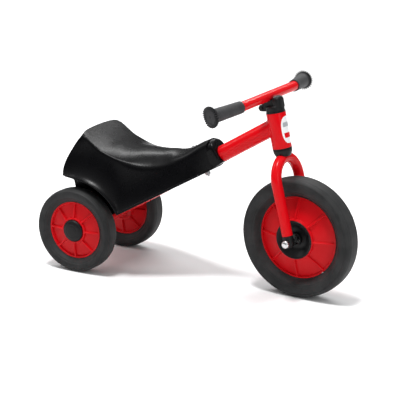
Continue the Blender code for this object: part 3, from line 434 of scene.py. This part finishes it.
def hub_cup(name, sign):
    """Black dished cup in the middle of the front rim, with the boss that the bush sits in."""
    floor = 10.3 * MM
    cup = rounded([(11 * MM, floor, 0), (23.7 * MM, floor, 0), (38 * MM, 25.3 * MM, 0),
                   (40.5 * MM, 25.3 * MM, 0.3 * MM), (39.6 * MM, 26.5 * MM, 0.8 * MM),
                   (36.6 * MM, 25.9 * MM, 1.5 * MM), (23 * MM, floor + 2.5 * MM, 4 * MM),
                   (13.6 * MM, floor + 2.5 * MM, 1.2 * MM), (13 * MM, floor + 11 * MM, 0.8 * MM),
                   (11 * MM, floor + 11 * MM, 0)])
    bm = revolve(flipped(cup, sign), 96, FRONT_AXLE, SIDE)
    add(name + "_fine", bm, "black_trim", "front_wheel", [name], True)


def hub_cap(name, centre, sign, body):
    base = 15.3 * MM
    cap = rounded([(0, base + 5 * MM, 0), (0, base + 7 * MM, 0), (6 * MM, base + 6.9 * MM, 1 * MM),
                   (14 * MM, base + 6.5 * MM, 2 * MM), (20.5 * MM, base + 5 * MM, 2.5 * MM),
                   (23.6 * MM, base + 2 * MM, 1.6 * MM), (23.6 * MM, base, 0.2 * MM),
                   (18.5 * MM, base, 0.2 * MM), (17.5 * MM, base + 3.6 * MM, 0.5 * MM)])

    def ringed(r, a):
        return r, a - 0.5 * MM * math.exp(-((r - 12.5 * MM) / (0.9 * MM)) ** 2) * (a > base + 5.5 * MM)

    fine = finer(cap, 0.8 * MM, True)
    fine = [(r, a) for i, (r, a) in enumerate(fine) if r > 1e-7 or i in (0, fine.index((0, base + 7 * MM)))]
    bm = revolve([ringed(r, a) for r, a in fine], 96, centre, (0, sign, 0))
    add(name + "_fine", bm, "black_trim", body, [name])


def wheels():
    tyre("front_tyre", FRONT_AXLE, FRONT_WHEEL_R, FRONT_TYRE_W, FRONT_RIM_R, FRONT_FACE_HALF,
         "front_wheel", True)
    ribbed_rim("front_rim", FRONT_AXLE, BUSH_SEAT_R, 24 * MM, 10 * MM, 39.5 * MM, 25 * MM, FRONT_RIM_R,
               FRONT_FACE_HALF, "front_wheel", True)
    for sign, word, centre in ((1, "left", REAR_LEFT), (-1, "right", REAR_RIGHT)):
        hub_cup("front_hub_cup_" + word, sign)
        body = "rear_wheel_" + word
        tyre("rear_tyre_" + word, centre, REAR_WHEEL_R, REAR_TYRE_W, REAR_RIM_R, REAR_FACE_HALF, body, False)
        ribbed_rim("rear_rim_" + word, centre, BUSH_SEAT_R, 18 * MM, 11 * MM, 25 * MM, 15 * MM, REAR_RIM_R,
                   REAR_FACE_HALF, body, False)
        hub_cap("rear_hub_cap_" + word, centre, sign, body)


# ---------------------------------------------------------------- frame
def reach_cylinder(point, direction, centre, axis, radius):
    """Point on the line nearest its start where it meets a cylinder."""
    d = direction - axis * direction.dot(axis)
    m = point - centre
    m = m - axis * m.dot(axis)
    a, b, c = d.dot(d), m.dot(d), m.dot(m) - radius * radius
    t = (-b - math.sqrt(max(b * b - a * c, 0))) / a
    return point + direction * t


def head_and_main_tube():
    wall = rounded([(16.5 * MM, 0, 0), (HEAD_TUBE_R, 0, 0.7 * MM), (HEAD_TUBE_R, HEAD_LENGTH, 0.7 * MM),
                    (16.5 * MM, HEAD_LENGTH, 0)])
    add("head_tube_fine", revolve(wall, 96, HEAD_BOTTOM, UP_HEAD), "red_paint", "frame", ["head_tube"])
    count = 72
    around = arc(Vector(), SIDE, MAIN_UP, 1, 0, 2 * math.pi, count)[:count]
    far = REAR_AXLE + MAIN_DIR * 0.2
    ends = [reach_cylinder(far + out * MAIN_TUBE_R, MAIN_DIR, HEAD_BOTTOM, UP_HEAD, HEAD_TUBE_R + 0.05 * MM)
            for out in around]
    starts = [reach_cylinder(far + out * MAIN_TUBE_R, -MAIN_DIR, REAR_AXLE, SIDE, 13.05 * MM)
              if abs((out * MAIN_TUBE_R).dot(MAIN_UP)) < 12.9 * MM
              else REAR_AXLE + out * MAIN_TUBE_R + MAIN_DIR * 1 * MM for out in around]
    rows = [[s.lerp(e, t) for s, e in zip(starts, ends)] for t in (0, 0.25, 0.5, 0.75, 0.98, 1)]
    add("main_tube_fine", loft(rows), "red_paint", "frame", ["main_tube"], sharp=40)
    # weld bead where the main tube meets the head tube
    rings = []
    for k in range(count):
        a = 2 * math.pi * k / count
        centre = ends[k]
        off_head = (centre - HEAD_BOTTOM) - UP_HEAD * (centre - HEAD_BOTTOM).dot(UP_HEAD)
        normal = (off_head.normalized() + around[k]).normalized()
        tangent = (ends[(k + 1) % count] - ends[k - 1]).normalized()
        side = tangent.cross(normal).normalized()
        ripple = 1 + 0.10 * math.sin(a * 26)
        middle = centre + normal * 0.2 * MM
        rings.append([middle + (normal * math.cos(b) * 1.5 + side * math.sin(b) * 2.6) * MM * ripple
                      for b in (2 * math.pi * j / 14 for j in range(14))])
    add("head_weld", loft(rings, closed=True), "red_paint", "frame", sharp=60)
    # weld bead round the axle tube, either side of the main tube
    for sign, word in ((1, "left"), (-1, "right")):
        path = arc(REAR_AXLE + SIDE * sign * 17.4 * MM, MAIN_DIR, MAIN_UP, 13.2 * MM, -1.4, 1.4, 20)
        add("axle_weld_" + word, pipe(path, 1.6 * MM, SIDE, 12), "red_paint", "frame", sharp=60)


def on_head(turn, along, lift):
    """Point on the head tube's skin: turn from straight ahead towards the right, height along the tube."""
    ahead = SIDE.cross(UP_HEAD).normalized()
    out = ahead * math.cos(turn) - SIDE * math.sin(turn)
    return HEAD_BOTTOM + UP_HEAD * along + out * (HEAD_TUBE_R + lift)


def decal_patch(name, half_width, low, high, lift, material):
    """A thin film on the front of the head tube, outlined by half_width(share of its height)."""
    bm = bmesh.new()
    rows, columns = 40, 24
    skins = []
    for skin in (lift, 0.02 * MM):
        grid = []
        for i in range(rows + 1):
            t = i / rows
            reach = max(half_width(t), 0.3 * MM) / HEAD_TUBE_R
            along = low + (high - low) * t
            grid.append([bm.verts.new(on_head(reach * (2 * j / columns - 1), along, skin))
                         for j in range(columns + 1)])
        skins.append(grid)
    for grid in skins:
        for i in range(rows):
            for j in range(columns):
                bm.faces.new((grid[i][j], grid[i][j + 1], grid[i + 1][j + 1], grid[i + 1][j]))
    a, b = skins
    edge = [(i, 0) for i in range(rows)] + [(rows, j) for j in range(columns)]
    edge += [(i, columns) for i in range(rows, 0, -1)] + [(0, j) for j in range(columns, 0, -1)]
    for (i, j), (m, n) in zip(edge, edge[1:] + edge[:1]):
        bm.faces.new((a[i][j], a[m][n], b[m][n], b[i][j]))
    add(name, bm, "red_paint", "frame", sharp=60, material=material)


def decal():
    """Plain generic label: a white oval crossed by a grey band and a red band, no lettering."""
    low, high, half_width, power = 8 * MM, 64 * MM, 16.5 * MM, 2.6

    def oval(t):
        return half_width * max(0.0, 1 - abs(2 * t - 1) ** power) ** (1 / power)

    decal_patch("decal_ground", oval, low, high, 0.10 * MM, "decal_white")
    bands = (("grey_band", 0.62, 0.78, "decal_grey"), ("red_band", 0.22, 0.40, "red_paint"))
    for word, start, stop, material in bands:
        def band(t):
            return 0.75 * oval(start + (stop - start) * t)

        bottom, top = low + (high - low) * start, low + (high - low) * stop
        decal_patch("decal_" + word, band, bottom, top, 0.16 * MM, material)


# ---------------------------------------------------------------- saddle
# The edge between the saddle's top and side: ahead of the rear axle, half-width, height, crown rise
CREASE = [(-1, 74, 295, 0), (20, 74.3, 279, 1.5), (40, 74.3, 266, 4), (60, 74.2, 258, 8), (80, 74, 251.5, 12),
          (100, 74, 246.5, 17), (120, 72.5, 242.5, 22), (140, 68.5, 239.5, 26), (160, 62, 240, 27),
          (180, 54.5, 243.5, 26), (200, 46.5, 250, 21), (225, 38, 263, 15.5), (250, 30, 279, 14.5),
          (270, 24.5, 291.5, 12)]
ARCH_R = 113 * MM
RIM_HALF = 105 * MM
NECK_RIM = Vector((286 * MM, 23.5 * MM, 247.5 * MM))
REAR_CORNER = Vector((-34 * MM, 98 * MM, 205 * MM))
REAR_BULGE = 17 * MM
LAST = len(CREASE) - 1


def sample(u):
    i = min(int(u), LAST - 1)
    t = u - i
    rows = [CREASE[max(i - 1, 0)], CREASE[i], CREASE[i + 1], CREASE[min(i + 2, LAST)]]
    return [0.5 * (2 * b + (c - a) * t + (2 * a - 5 * b + 4 * c - d) * t * t
                   + (3 * b - 3 * c + d - a) * t ** 3) * MM for a, b, c, d in zip(*rows)]


def rim_point(u):
    arch_start, arch_end = 1.5, 5.0
    corner = Vector((104 * MM, RIM_HALF, 141.5 * MM))
    if u <= arch_start:
        arch_foot = Vector((-2 * MM, RIM_HALF - 1 * MM, REAR_Z + ARCH_R + 1 * MM))
        return REAR_CORNER.lerp(arch_foot, u / arch_start)
    if u <= arch_end:
        t = (u - arch_start) / (arch_end - arch_start)
        start, stop = math.radians(91), math.atan2(corner.z - REAR_Z, corner.x)
        angle = start + (stop - start) * t
        ease = (t * t * (3 - 2 * t)) ** 3
        radius = ARCH_R + (math.hypot(corner.x, corner.z - REAR_Z) - ARCH_R) * ease
        return Vector((radius * math.cos(angle), RIM_HALF, REAR_Z + radius * math.sin(angle)))
    return corner.lerp(NECK_RIM, (u - arch_end) / (LAST - arch_end))


def round_corner(point):
    """Ease the skin inwards round the saddle's back corners, so that no edge ends in a point."""
    side = 1 if point.y >= 0 else -1
    corner = Vector((REAR_X - 1 * MM, side * 74 * MM, 295 * MM))
    near = max(0.0, 1 - (point - corner).length / (14 * MM))
    return point + Vector((2.5 * MM, -side * 3 * MM, -3.5 * MM)) * near


def flank_point(u, v):
    ahead, half, height, _ = sample(u)
    crease = Vector((ahead, half, height))
    rim = rim_point(u)
    flare = 0.16 + 0.34 * max(0.0, (u - 8) / (LAST - 8))
    control = Vector(((crease.x + rim.x) / 2, half + 2 * MM + (rim.y - half) * 0.25,
                      rim.z + (crease.z - rim.z) * flare))
    point = crease * (1 - v) ** 2 + control * 2 * v * (1 - v) + rim * v * v
    point.x += REAR_X - REAR_BULGE * max(0.0, 1 - u / 4) ** 1.5 * math.sin(math.pi * v)
    return round_corner(point)


def top_point(u, s):
    ahead, half, height, rise = sample(u)
    rear = max(0.0, 1 - u / 1.5)
    bow = 1 - s * s
    neck = max(0.0, (u - 9) / (LAST - 9))
    dome = bow * (1 - neck) + math.sqrt(max(bow, 0)) * neck
    x = REAR_X + ahead - 6 * MM * rear * bow
    return round_corner(Vector((x, half * s, height + rise * dome + 2.5 * MM * rear * bow)))


def mirrored(p):
    return Vector((p.x, -p.y, p.z))


def saddle():
    stations, across, down = 52, 12, 10
    bm = bmesh.new()
    crease = bm.edges.layers.float.new("crease_edge")
    rows = []
    for i in range(stations + 1):
        u = LAST * i / stations
        row = [flank_point(u, 1 - k / down) for k in range(down)]
        row += [top_point(u, 1 - 2 * k / across) for k in range(across + 1)]
        row += [mirrored(flank_point(u, (k + 1) / down)) for k in range(down)]
        rows.append(row)
    grid = [[bm.verts.new(p) for p in row] for row in rows]
    for here, there in zip(grid, grid[1:]):
        for k in range(len(here) - 1):
            bm.faces.new((here[k], here[k + 1], there[k + 1], there[k]))
    previous = grid[0][down:down + across + 1]
    for k in range(1, down + 1):
        left = rows[0][down - k]
        row = [grid[0][down - k]]
        for j in range(1, across):
            s = 1 - 2 * j / across
            bow = (1 - s * s) * MM
            x, z = left.x - (6 - 3 * k / down) * bow, left.z + (2.5 - k / down) * bow
            row.append(bm.verts.new((x, left.y * s, z)))
        row.append(grid[0][down + across + k])
        for j in range(across):
            bm.faces.new((previous[j], previous[j + 1], row[j + 1], row[j]))
        previous = row
    bmesh.ops.recalc_face_normals(bm, faces=bm.faces)
    if sum(f.normal.z for f in bm.faces) < 0:
        bmesh.ops.reverse_faces(bm, faces=bm.faces)
    # how sharp each edge stays when the skin is smoothed: firm at the back, eased at its corners, soft ahead
    keep = {}
    for i in range(stations):
        weight = min(0.4 + 0.2 * i, 0.80 - 0.62 * min(1.0, i / (stations * 0.45)))
        for column in (down, down + across):
            keep[frozenset((grid[i][column], grid[i + 1][column]))] = weight
    for k in range(across):
        keep[frozenset((grid[0][down + k], grid[0][down + k + 1]))] = 0.7
    for k in range(down):
        weight = 0.25 + 0.3 * (down - 1 - k) / down
        keep[frozenset((grid[0][k], grid[0][k + 1]))] = weight
        keep[frozenset((grid[0][down + across + down - k - 1], grid[0][down + across + down - k]))] = weight
    bm.normal_update()
    wall = 4 * MM
    outer = list(bm.verts)
    inner = {}
    for v in outer:
        total = Vector()
        for f in v.link_faces:
            total += f.normal
        normal = total.normalized()
        spread = min(f.normal.dot(normal) for f in v.link_faces)
        inner[v] = bm.verts.new(v.co - normal * wall / max(spread, 0.6))
    for f in list(bm.faces):
        bm.faces.new([inner[v] for v in reversed(f.verts)])
    lips = [e for e in bm.edges if len(e.link_faces) == 1 and e.verts[0] in inner and e.verts[1] in inner]
    for e in lips:
        a, b = e.verts
        bm.faces.new((a, b, inner[b], inner[a]))
    for e in bm.edges:
        e[crease] = keep.get(frozenset(e.verts), 0.0)
    for e in lips:
        e[crease] = 0.7
        a, b = e.verts
        bm.edges.get((inner[a], inner[b]))[crease] = 0.7
    add("saddle_skin", bm, "seat_plastic", "frame", ["seat_shell"], subdivide=2)
    # rolled bead along the lower edge of each side
    for mirror, word in ((False, "left"), (True, "right")):
        path = [rim_point(LAST * i / 160) + Vector((REAR_X, -0.8 * MM, -0.4 * MM)) for i in range(161)]
        path = [mirrored(p) for p in path] if mirror else path
        rings = []
        for i, point in enumerate(path):
            tangent = (path[min(i + 2, 160)] - path[max(i - 2, 0)]).normalized()
            side = tangent.cross(SIDE).normalized()
            over = side.cross(tangent).normalized()
            size = 2.5 * MM * min(1.0, 0.35 + i / 8, 0.35 + (160 - i) / 8)
            rings.append([point + (over * math.cos(a) + side * math.sin(a)) * size
                          for a in (2 * math.pi * k / 16 for k in range(16))])
        add("rim_bead_" + word, loft(rings), "seat_plastic", "frame", sharp=60)
    # a wall down the inner side of each wheel
    lower = [(-24, 187), (-20, 170), (-16, 112), (22, 104), (46, 112), (88, 134)]
    for side, word in ((1, "left"), (-1, "right")):
        upper = []
        for k in range(15):
            x = -14 + k * 7.2
            i = max(j for j in range(LAST) if CREASE[j][0] <= max(x, -1))
            t = (x - CREASE[i][0]) / (CREASE[i + 1][0] - CREASE[i][0])
            highest = (256 + (x + 14) * 1.8) * MM
            upper.append((REAR_X + x * MM, min(highest, top_point(max(i + t, 0), 0.9).z - 3.5 * MM)))
        outline = [(REAR_X + x * MM, z * MM) for x, z in lower] + list(reversed(upper))
        bm = plate(outline, side * 66.4 * MM, side * 69.4 * MM)
        add("well_wall_" + word, bm, "seat_plastic", "frame", bevel=0.6 * MM)
    # the horseshoe collar that closes the neck round the main tube
    half, shoulder, top, foot, front = 25.5, 16, 37, -17.2, 350
    outline = [(half * math.cos(math.pi * k / 48), shoulder + (top - shoulder) * math.sin(math.pi * k / 48))
               for k in range(49)]
    outline += [(-half, -2), (-half + 1, -9), (-half + 4, foot), (half - 4, foot), (half - 1, -9), (half, -2)]
    rings = []
    for back, shrink in ((30, 0.93), (29, 0.97), (27, 1.0), (24, 1.005), (9, 1.005), (6, 0.995), (3.5, 0.97),
                         (1.6, 0.93), (0.5, 0.88), (0, 0.80)):
        at = REAR_AXLE + MAIN_DIR * (front - back) * MM
        rings.append([at + SIDE * y * shrink * MM + MAIN_UP * (h * shrink) * MM for y, h in outline])
    add("neck_collar", loft(rings), "seat_plastic", "frame", sharp=50)


# ---------------------------------------------------------------- steering
def crown_and_fork():
    top, low = -2.6 * MM, -17.6 * MM
    cup = rounded([(STEERER_R + GAP, top, 0), (19.6 * MM, top, 1.0 * MM), (19.2 * MM, top - 6.5 * MM, 4 * MM),
                   (15.2 * MM, low, 1.5 * MM), (STEERER_R + GAP, low, 0)], 6)
    bm = revolve(cup, 96, HEAD_BOTTOM, UP_HEAD)
    add("crown_cup_fine", bm, "black_trim", "steering", ["crown_cup"], True)
    arch_centre = HEAD_BOTTOM - UP_HEAD * (21 * MM + FORK_HALF)
    arch = arc(arch_centre, SIDE, UP_HEAD, FORK_HALF, 0, math.pi, 48)
    ends = [FRONT_AXLE + SIDE * FORK_HALF, FRONT_AXLE - SIDE * FORK_HALF]
    leg = (ends[0] - arch[0]).normalized()
    across = SIDE.cross(leg)
    stop = 15 * MM
    legs = [[e - leg * stop + (a - e + leg * stop) * t for t in (0, 0.35, 0.7, 0.9)]
            for e, a in ((ends[0], arch[0]), (ends[1], arch[-1]))]
    path = legs[0] + arch + list(reversed(legs[1]))
    add("fork_fine", pipe(path, FORK_R, across, 44), "red_paint", "steering", ["fork"], True, 50)
    for sign, word in ((1, "left"), (-1, "right")):
        centre = FRONT_AXLE + SIDE * sign * FORK_HALF
        sections = ((stop - GAP, 10.2, 10.2), (stop - 0.9 * MM, 11, 11), (9 * MM, 11.1, 11.1),
                    (4 * MM, 11.1, 11.1), (0, 11, 11), (-3.5 * MM, 10.4, 10.7), (-7 * MM, 8.8, 9.8),
                    (-9.4 * MM, 6.6, 8.6), (-10.8 * MM, 3.8, 7.0), (-11.2 * MM, 1.6, 5.4))
        rings = [arc(centre - leg * along, across * half_x, SIDE * half_y, MM, 0, 2 * math.pi, 48)[:48]
                 for along, half_x, half_y in sections]
        end_piece = "fork_end_" + word
        add(end_piece + "_fine", loft(rings), "black_trim", "steering", [end_piece], True, 45)
        outer = FORK_HALF + 11.4 * MM
        nut = rounded([(5.1 * MM, outer, 0), (8 * MM, outer, 0.5 * MM), (8 * MM, outer + 5 * MM, 1.4 * MM),
                       (6.2 * MM, outer + 7.6 * MM, 1.2 * MM), (3.4 * MM, outer + 8.7 * MM, 1.4 * MM),
                       (0, outer + 9.0 * MM, 0), (0, outer + 7 * MM, 0), (5.1 * MM, outer + 7 * MM, 0)])
        bm = revolve(flipped(nut, sign), 64, FRONT_AXLE, SIDE)
        cap_nut = "front_cap_nut_" + word
        add(cap_nut + "_fine", bm, "zinc_steel", "steering", [cap_nut], True)


def stem():
    base = HEAD_TOP + UP_HEAD * 2.6 * MM
    collar = rounded([(STEERER_R + GAP, 0, 0), (18.6 * MM, 0, 0.5 * MM), (19 * MM, 1.5 * MM, 0.8 * MM),
                      (19 * MM, 10 * MM, 1.6 * MM), (17.4 * MM, 12 * MM, 1.2 * MM), (0, 12.1 * MM, 0),
                      (0, 9.6 * MM, 0), (STEERER_R + GAP, 9.6 * MM, 0)])
    add("stem_collar", revolve(collar, 96, base, UP_HEAD), "black_trim", "steering", ["stem"], True)
    centre = HEAD_TOP + Vector((10.3 * MM, 0, 0))
    ahead = SIDE.cross(UP_HEAD).normalized()
    rings = []
    top, half_x, half_y = 36, 9.2, 13.6
    steps = [(11.5, 1.0), (20, 1.0)]
    steps += [(top - half_x * (1 - math.sin(a)), math.cos(a))
              for a in (math.radians(8 * d) for d in range(11))]
    for along, share in steps:
        ring = []
        for k in range(64):
            a = 2 * math.pi * k / 64
            c, s = math.cos(a), math.sin(a)
            power = 2 / 2.9
            ring.append(centre + UP_HEAD * along * MM
                        + ahead * half_x * share * MM * math.copysign(abs(c) ** power, c)
                        + SIDE * half_y * share * MM * math.copysign(abs(s) ** power, s))
        rings.append(ring)
    add("stem_hump", loft(rings), "black_trim", "steering", (), True, 50)
    end = HEAD_TOP + Vector((-29.9 * MM, 0, 5.5 * MM))
    reach = 6.8 * MM
    arm = [(HEAD_TOP.x - 16.6 * MM, end.z - reach + 1.6 * MM), (HEAD_TOP.x - 16.6 * MM, end.z + reach)]
    arm += [(end.x + reach * math.cos(a), end.z + reach * math.sin(a))
            for a in (math.radians(90 + 180 * k / 20) for k in range(21))]
    add("stem_arm", plate(arm, -reach, reach), "black_trim", "steering", (), True, bevel=0.8 * MM)
    # cradle under the bar, hollowed to its round
    seat = [(BAR_CENTRE.x + (BAR_R + 0.1 * MM) * math.cos(a), BAR_CENTRE.z + (BAR_R + 0.1 * MM) * math.sin(a))
            for a in (math.radians(-28 - 118 * k / 16) for k in range(17))]
    low = [(HEAD_TOP.x + x * MM, HEAD_TOP.z + z * MM)
           for x, z in ((-28.5, 24), (-30, 6.6), (3, 14), (3, 23), (-4, 26))]
    bm = plate(seat + low, -6.4 * MM, 6.4 * MM)
    add("stem_cradle", bm, "black_trim", "steering", (), True, bevel=0.5 * MM)


def bar_and_grips():
    back = Vector((-math.tan(GRIP_SWEEP), 0, -math.tan(GRIP_DROP)))
    turn = math.atan(back.length)
    back.normalize()
    bend_r = 35 * MM
    tangent = bend_r * math.tan(turn / 2)
    path, grips = [], []
    for sign, word in ((-1, "right"), (1, "left")):
        out = (SIDE * sign * math.cos(turn) + back * math.sin(turn)).normalized()
        corner = BAR_CENTRE + SIDE * sign * (BAR_BETWEEN_GRIPS / 2 - tangent)
        centre = corner - SIDE * sign * tangent + back * bend_r
        bend = arc(centre, -back, SIDE * sign, bend_r, 0, turn, 12)
        grips.append((word, bend[-1], out))
        half = bend + [bend[-1] + out * 20 * MM, bend[-1] + out * (GRIP_LENGTH - 5 * MM)]
        path += half if sign > 0 else list(reversed(half))
    bm = pipe(path, BAR_R, back.cross(SIDE), 56)
    add("handlebar_fine", bm, "red_paint", "steering", ["handlebar"], True, 50)
    flange, teeth = 21.9 * MM, 28
    core = rounded([(BAR_R + GAP, 0, 0), (12.4 * MM, 0, 0.8 * MM), (12.9 * MM, 20 * MM, 0),
                    (13.4 * MM, 45 * MM, 0), (14.2 * MM, 72 * MM, 3 * MM), (20.4 * MM, 78.6 * MM, 1.2 * MM),
                    (flange, 79.8 * MM, 0.6 * MM), (flange, 83.2 * MM, 0.7 * MM),
                    (20.4 * MM, GRIP_LENGTH, 0.6 * MM), (15.4 * MM, GRIP_LENGTH, 0.5 * MM),
                    (14.6 * MM, 82.8 * MM, 0.5 * MM), (3.2 * MM, 82.6 * MM, 0.4 * MM),
                    (2.4 * MM, 81.6 * MM, 0.3 * MM), (0, 81.6 * MM, 0), (0, 80.3 * MM, 0),
                    (BAR_R + GAP, 80.3 * MM, 0)], 5)
    fine = finer(core, 1.3 * MM, False)

    def toothed(r, a, angle):
        wave = 0.5 - 0.5 * math.cos(teeth * angle)
        share = min(1.0, max(0.0, (r - 15.4 * MM) / (3 * MM))) * (a > 73 * MM)
        notch = wave ** 0.5
        if a < 81 * MM:
            return r - 4.2 * MM * share * notch, a + 0.9 * MM * share * notch
        return r - 4.2 * MM * share * notch, a - 1.7 * MM * share * notch

    for word, start, out in grips:
        bm = revolve(fine, teeth * 8, start, out, toothed)
        add("grip_" + word + "_fine", bm, "grip_rubber", "steering", ["grip_" + word], True, 45)


wheels()
head_and_main_tube()
decal()
saddle()
crown_and_fork()
stem()
bar_and_grips()

for name, node in frame["nodes"].items():
    for place in node.material_slots:
        place.material = M[SLOTS[name]]

# ---------------------------------------------------------------- floor, light and camera
floor_mesh = bpy.data.meshes.new("floor")
floor_mesh.from_pydata([(-30, -30, 0), (30, -30, 0), (30, 30, 0), (-30, 30, 0)], [], [(0, 1, 2, 3)])
floor = bpy.data.objects.new("floor", floor_mesh)
bpy.context.collection.objects.link(floor)
floor.location.z = before[0][2] - 0.0003
floor_mesh.materials.append(finish("floor", (0.86, 0.86, 0.865), 0.7, specular=0.2))

world = bpy.data.worlds.new("studio")
bpy.context.scene.world = world
world.use_nodes = True
sky_nodes, sky_links = world.node_tree.nodes, world.node_tree.links
heading = sky_nodes.new("ShaderNodeTexCoord")
split = sky_nodes.new("ShaderNodeSeparateXYZ")
height = sky_nodes.new("ShaderNodeValToRGB")
height.color_ramp.elements[0].position = 0.10
height.color_ramp.elements[0].color = (0.03, 0.03, 0.03, 1)
height.color_ramp.elements[1].position = 0.85
height.color_ramp.elements[1].color = (1, 1, 1, 1)
sky_links.new(heading.outputs["Generated"], split.inputs["Vector"])
sky_links.new(split.outputs["Z"], height.inputs["Fac"])
sky_links.new(height.outputs["Color"], sky_nodes["Background"].inputs["Color"])
sky_nodes["Background"].inputs["Strength"].default_value = 0.85


def lamp(name, kind, place, aim, energy, **settings):
    data = bpy.data.lights.new(name, kind)
    data.energy = energy
    for key, value in settings.items():
        setattr(data, key, value)
    light = bpy.data.objects.new(name, data)
    bpy.context.collection.objects.link(light)
    light.location = place
    light.rotation_euler = (Vector(aim) - Vector(place)).to_track_quat("-Z", "Y").to_euler()
    return light


lamp("overhead", "SUN", (-0.14, -0.5, 2.6), (0, 0, 0), 2.6, angle=math.radians(13))
lamp("behind", "AREA", (-0.45, 1.0, 1.35), (0, 0, 0.2), 13, shape="RECTANGLE", size=1.6, size_y=0.25)
lamp("left", "AREA", (-2.2, -0.3, 1.6), (0, 0, 0.2), 10, shape="RECTANGLE", size=0.6, size_y=1.6)
lamp("right", "AREA", (2.4, -1.2, 1.2), (0.2, 0, 0.2), 10, shape="RECTANGLE", size=0.5, size_y=1.6)
view = bpy.context.scene.view_settings
view.view_transform = "Standard"

camera_data = bpy.data.cameras.new("camera")
camera_data.lens = 145.07
camera_data.sensor_width = 36
camera_data.clip_end = 40
camera = bpy.data.objects.new("camera", camera_data)
bpy.context.collection.objects.link(camera)
eye, aim, roll = Vector((1.54731, -2.81708, 1.14927)), Vector((-0.01165, 0, 0.16656)), 0.008
ahead = (aim - eye).normalized()
right = ahead.cross(Vector((0, 0, 1))).normalized()
up = right.cross(ahead)
right, up = (right * math.cos(roll) + up * math.sin(roll), up * math.cos(roll) - right * math.sin(roll))
camera.matrix_world = Matrix.Translation(eye) @ Matrix((right, up, -ahead)).transposed().to_4x4()
bpy.context.scene.camera = camera
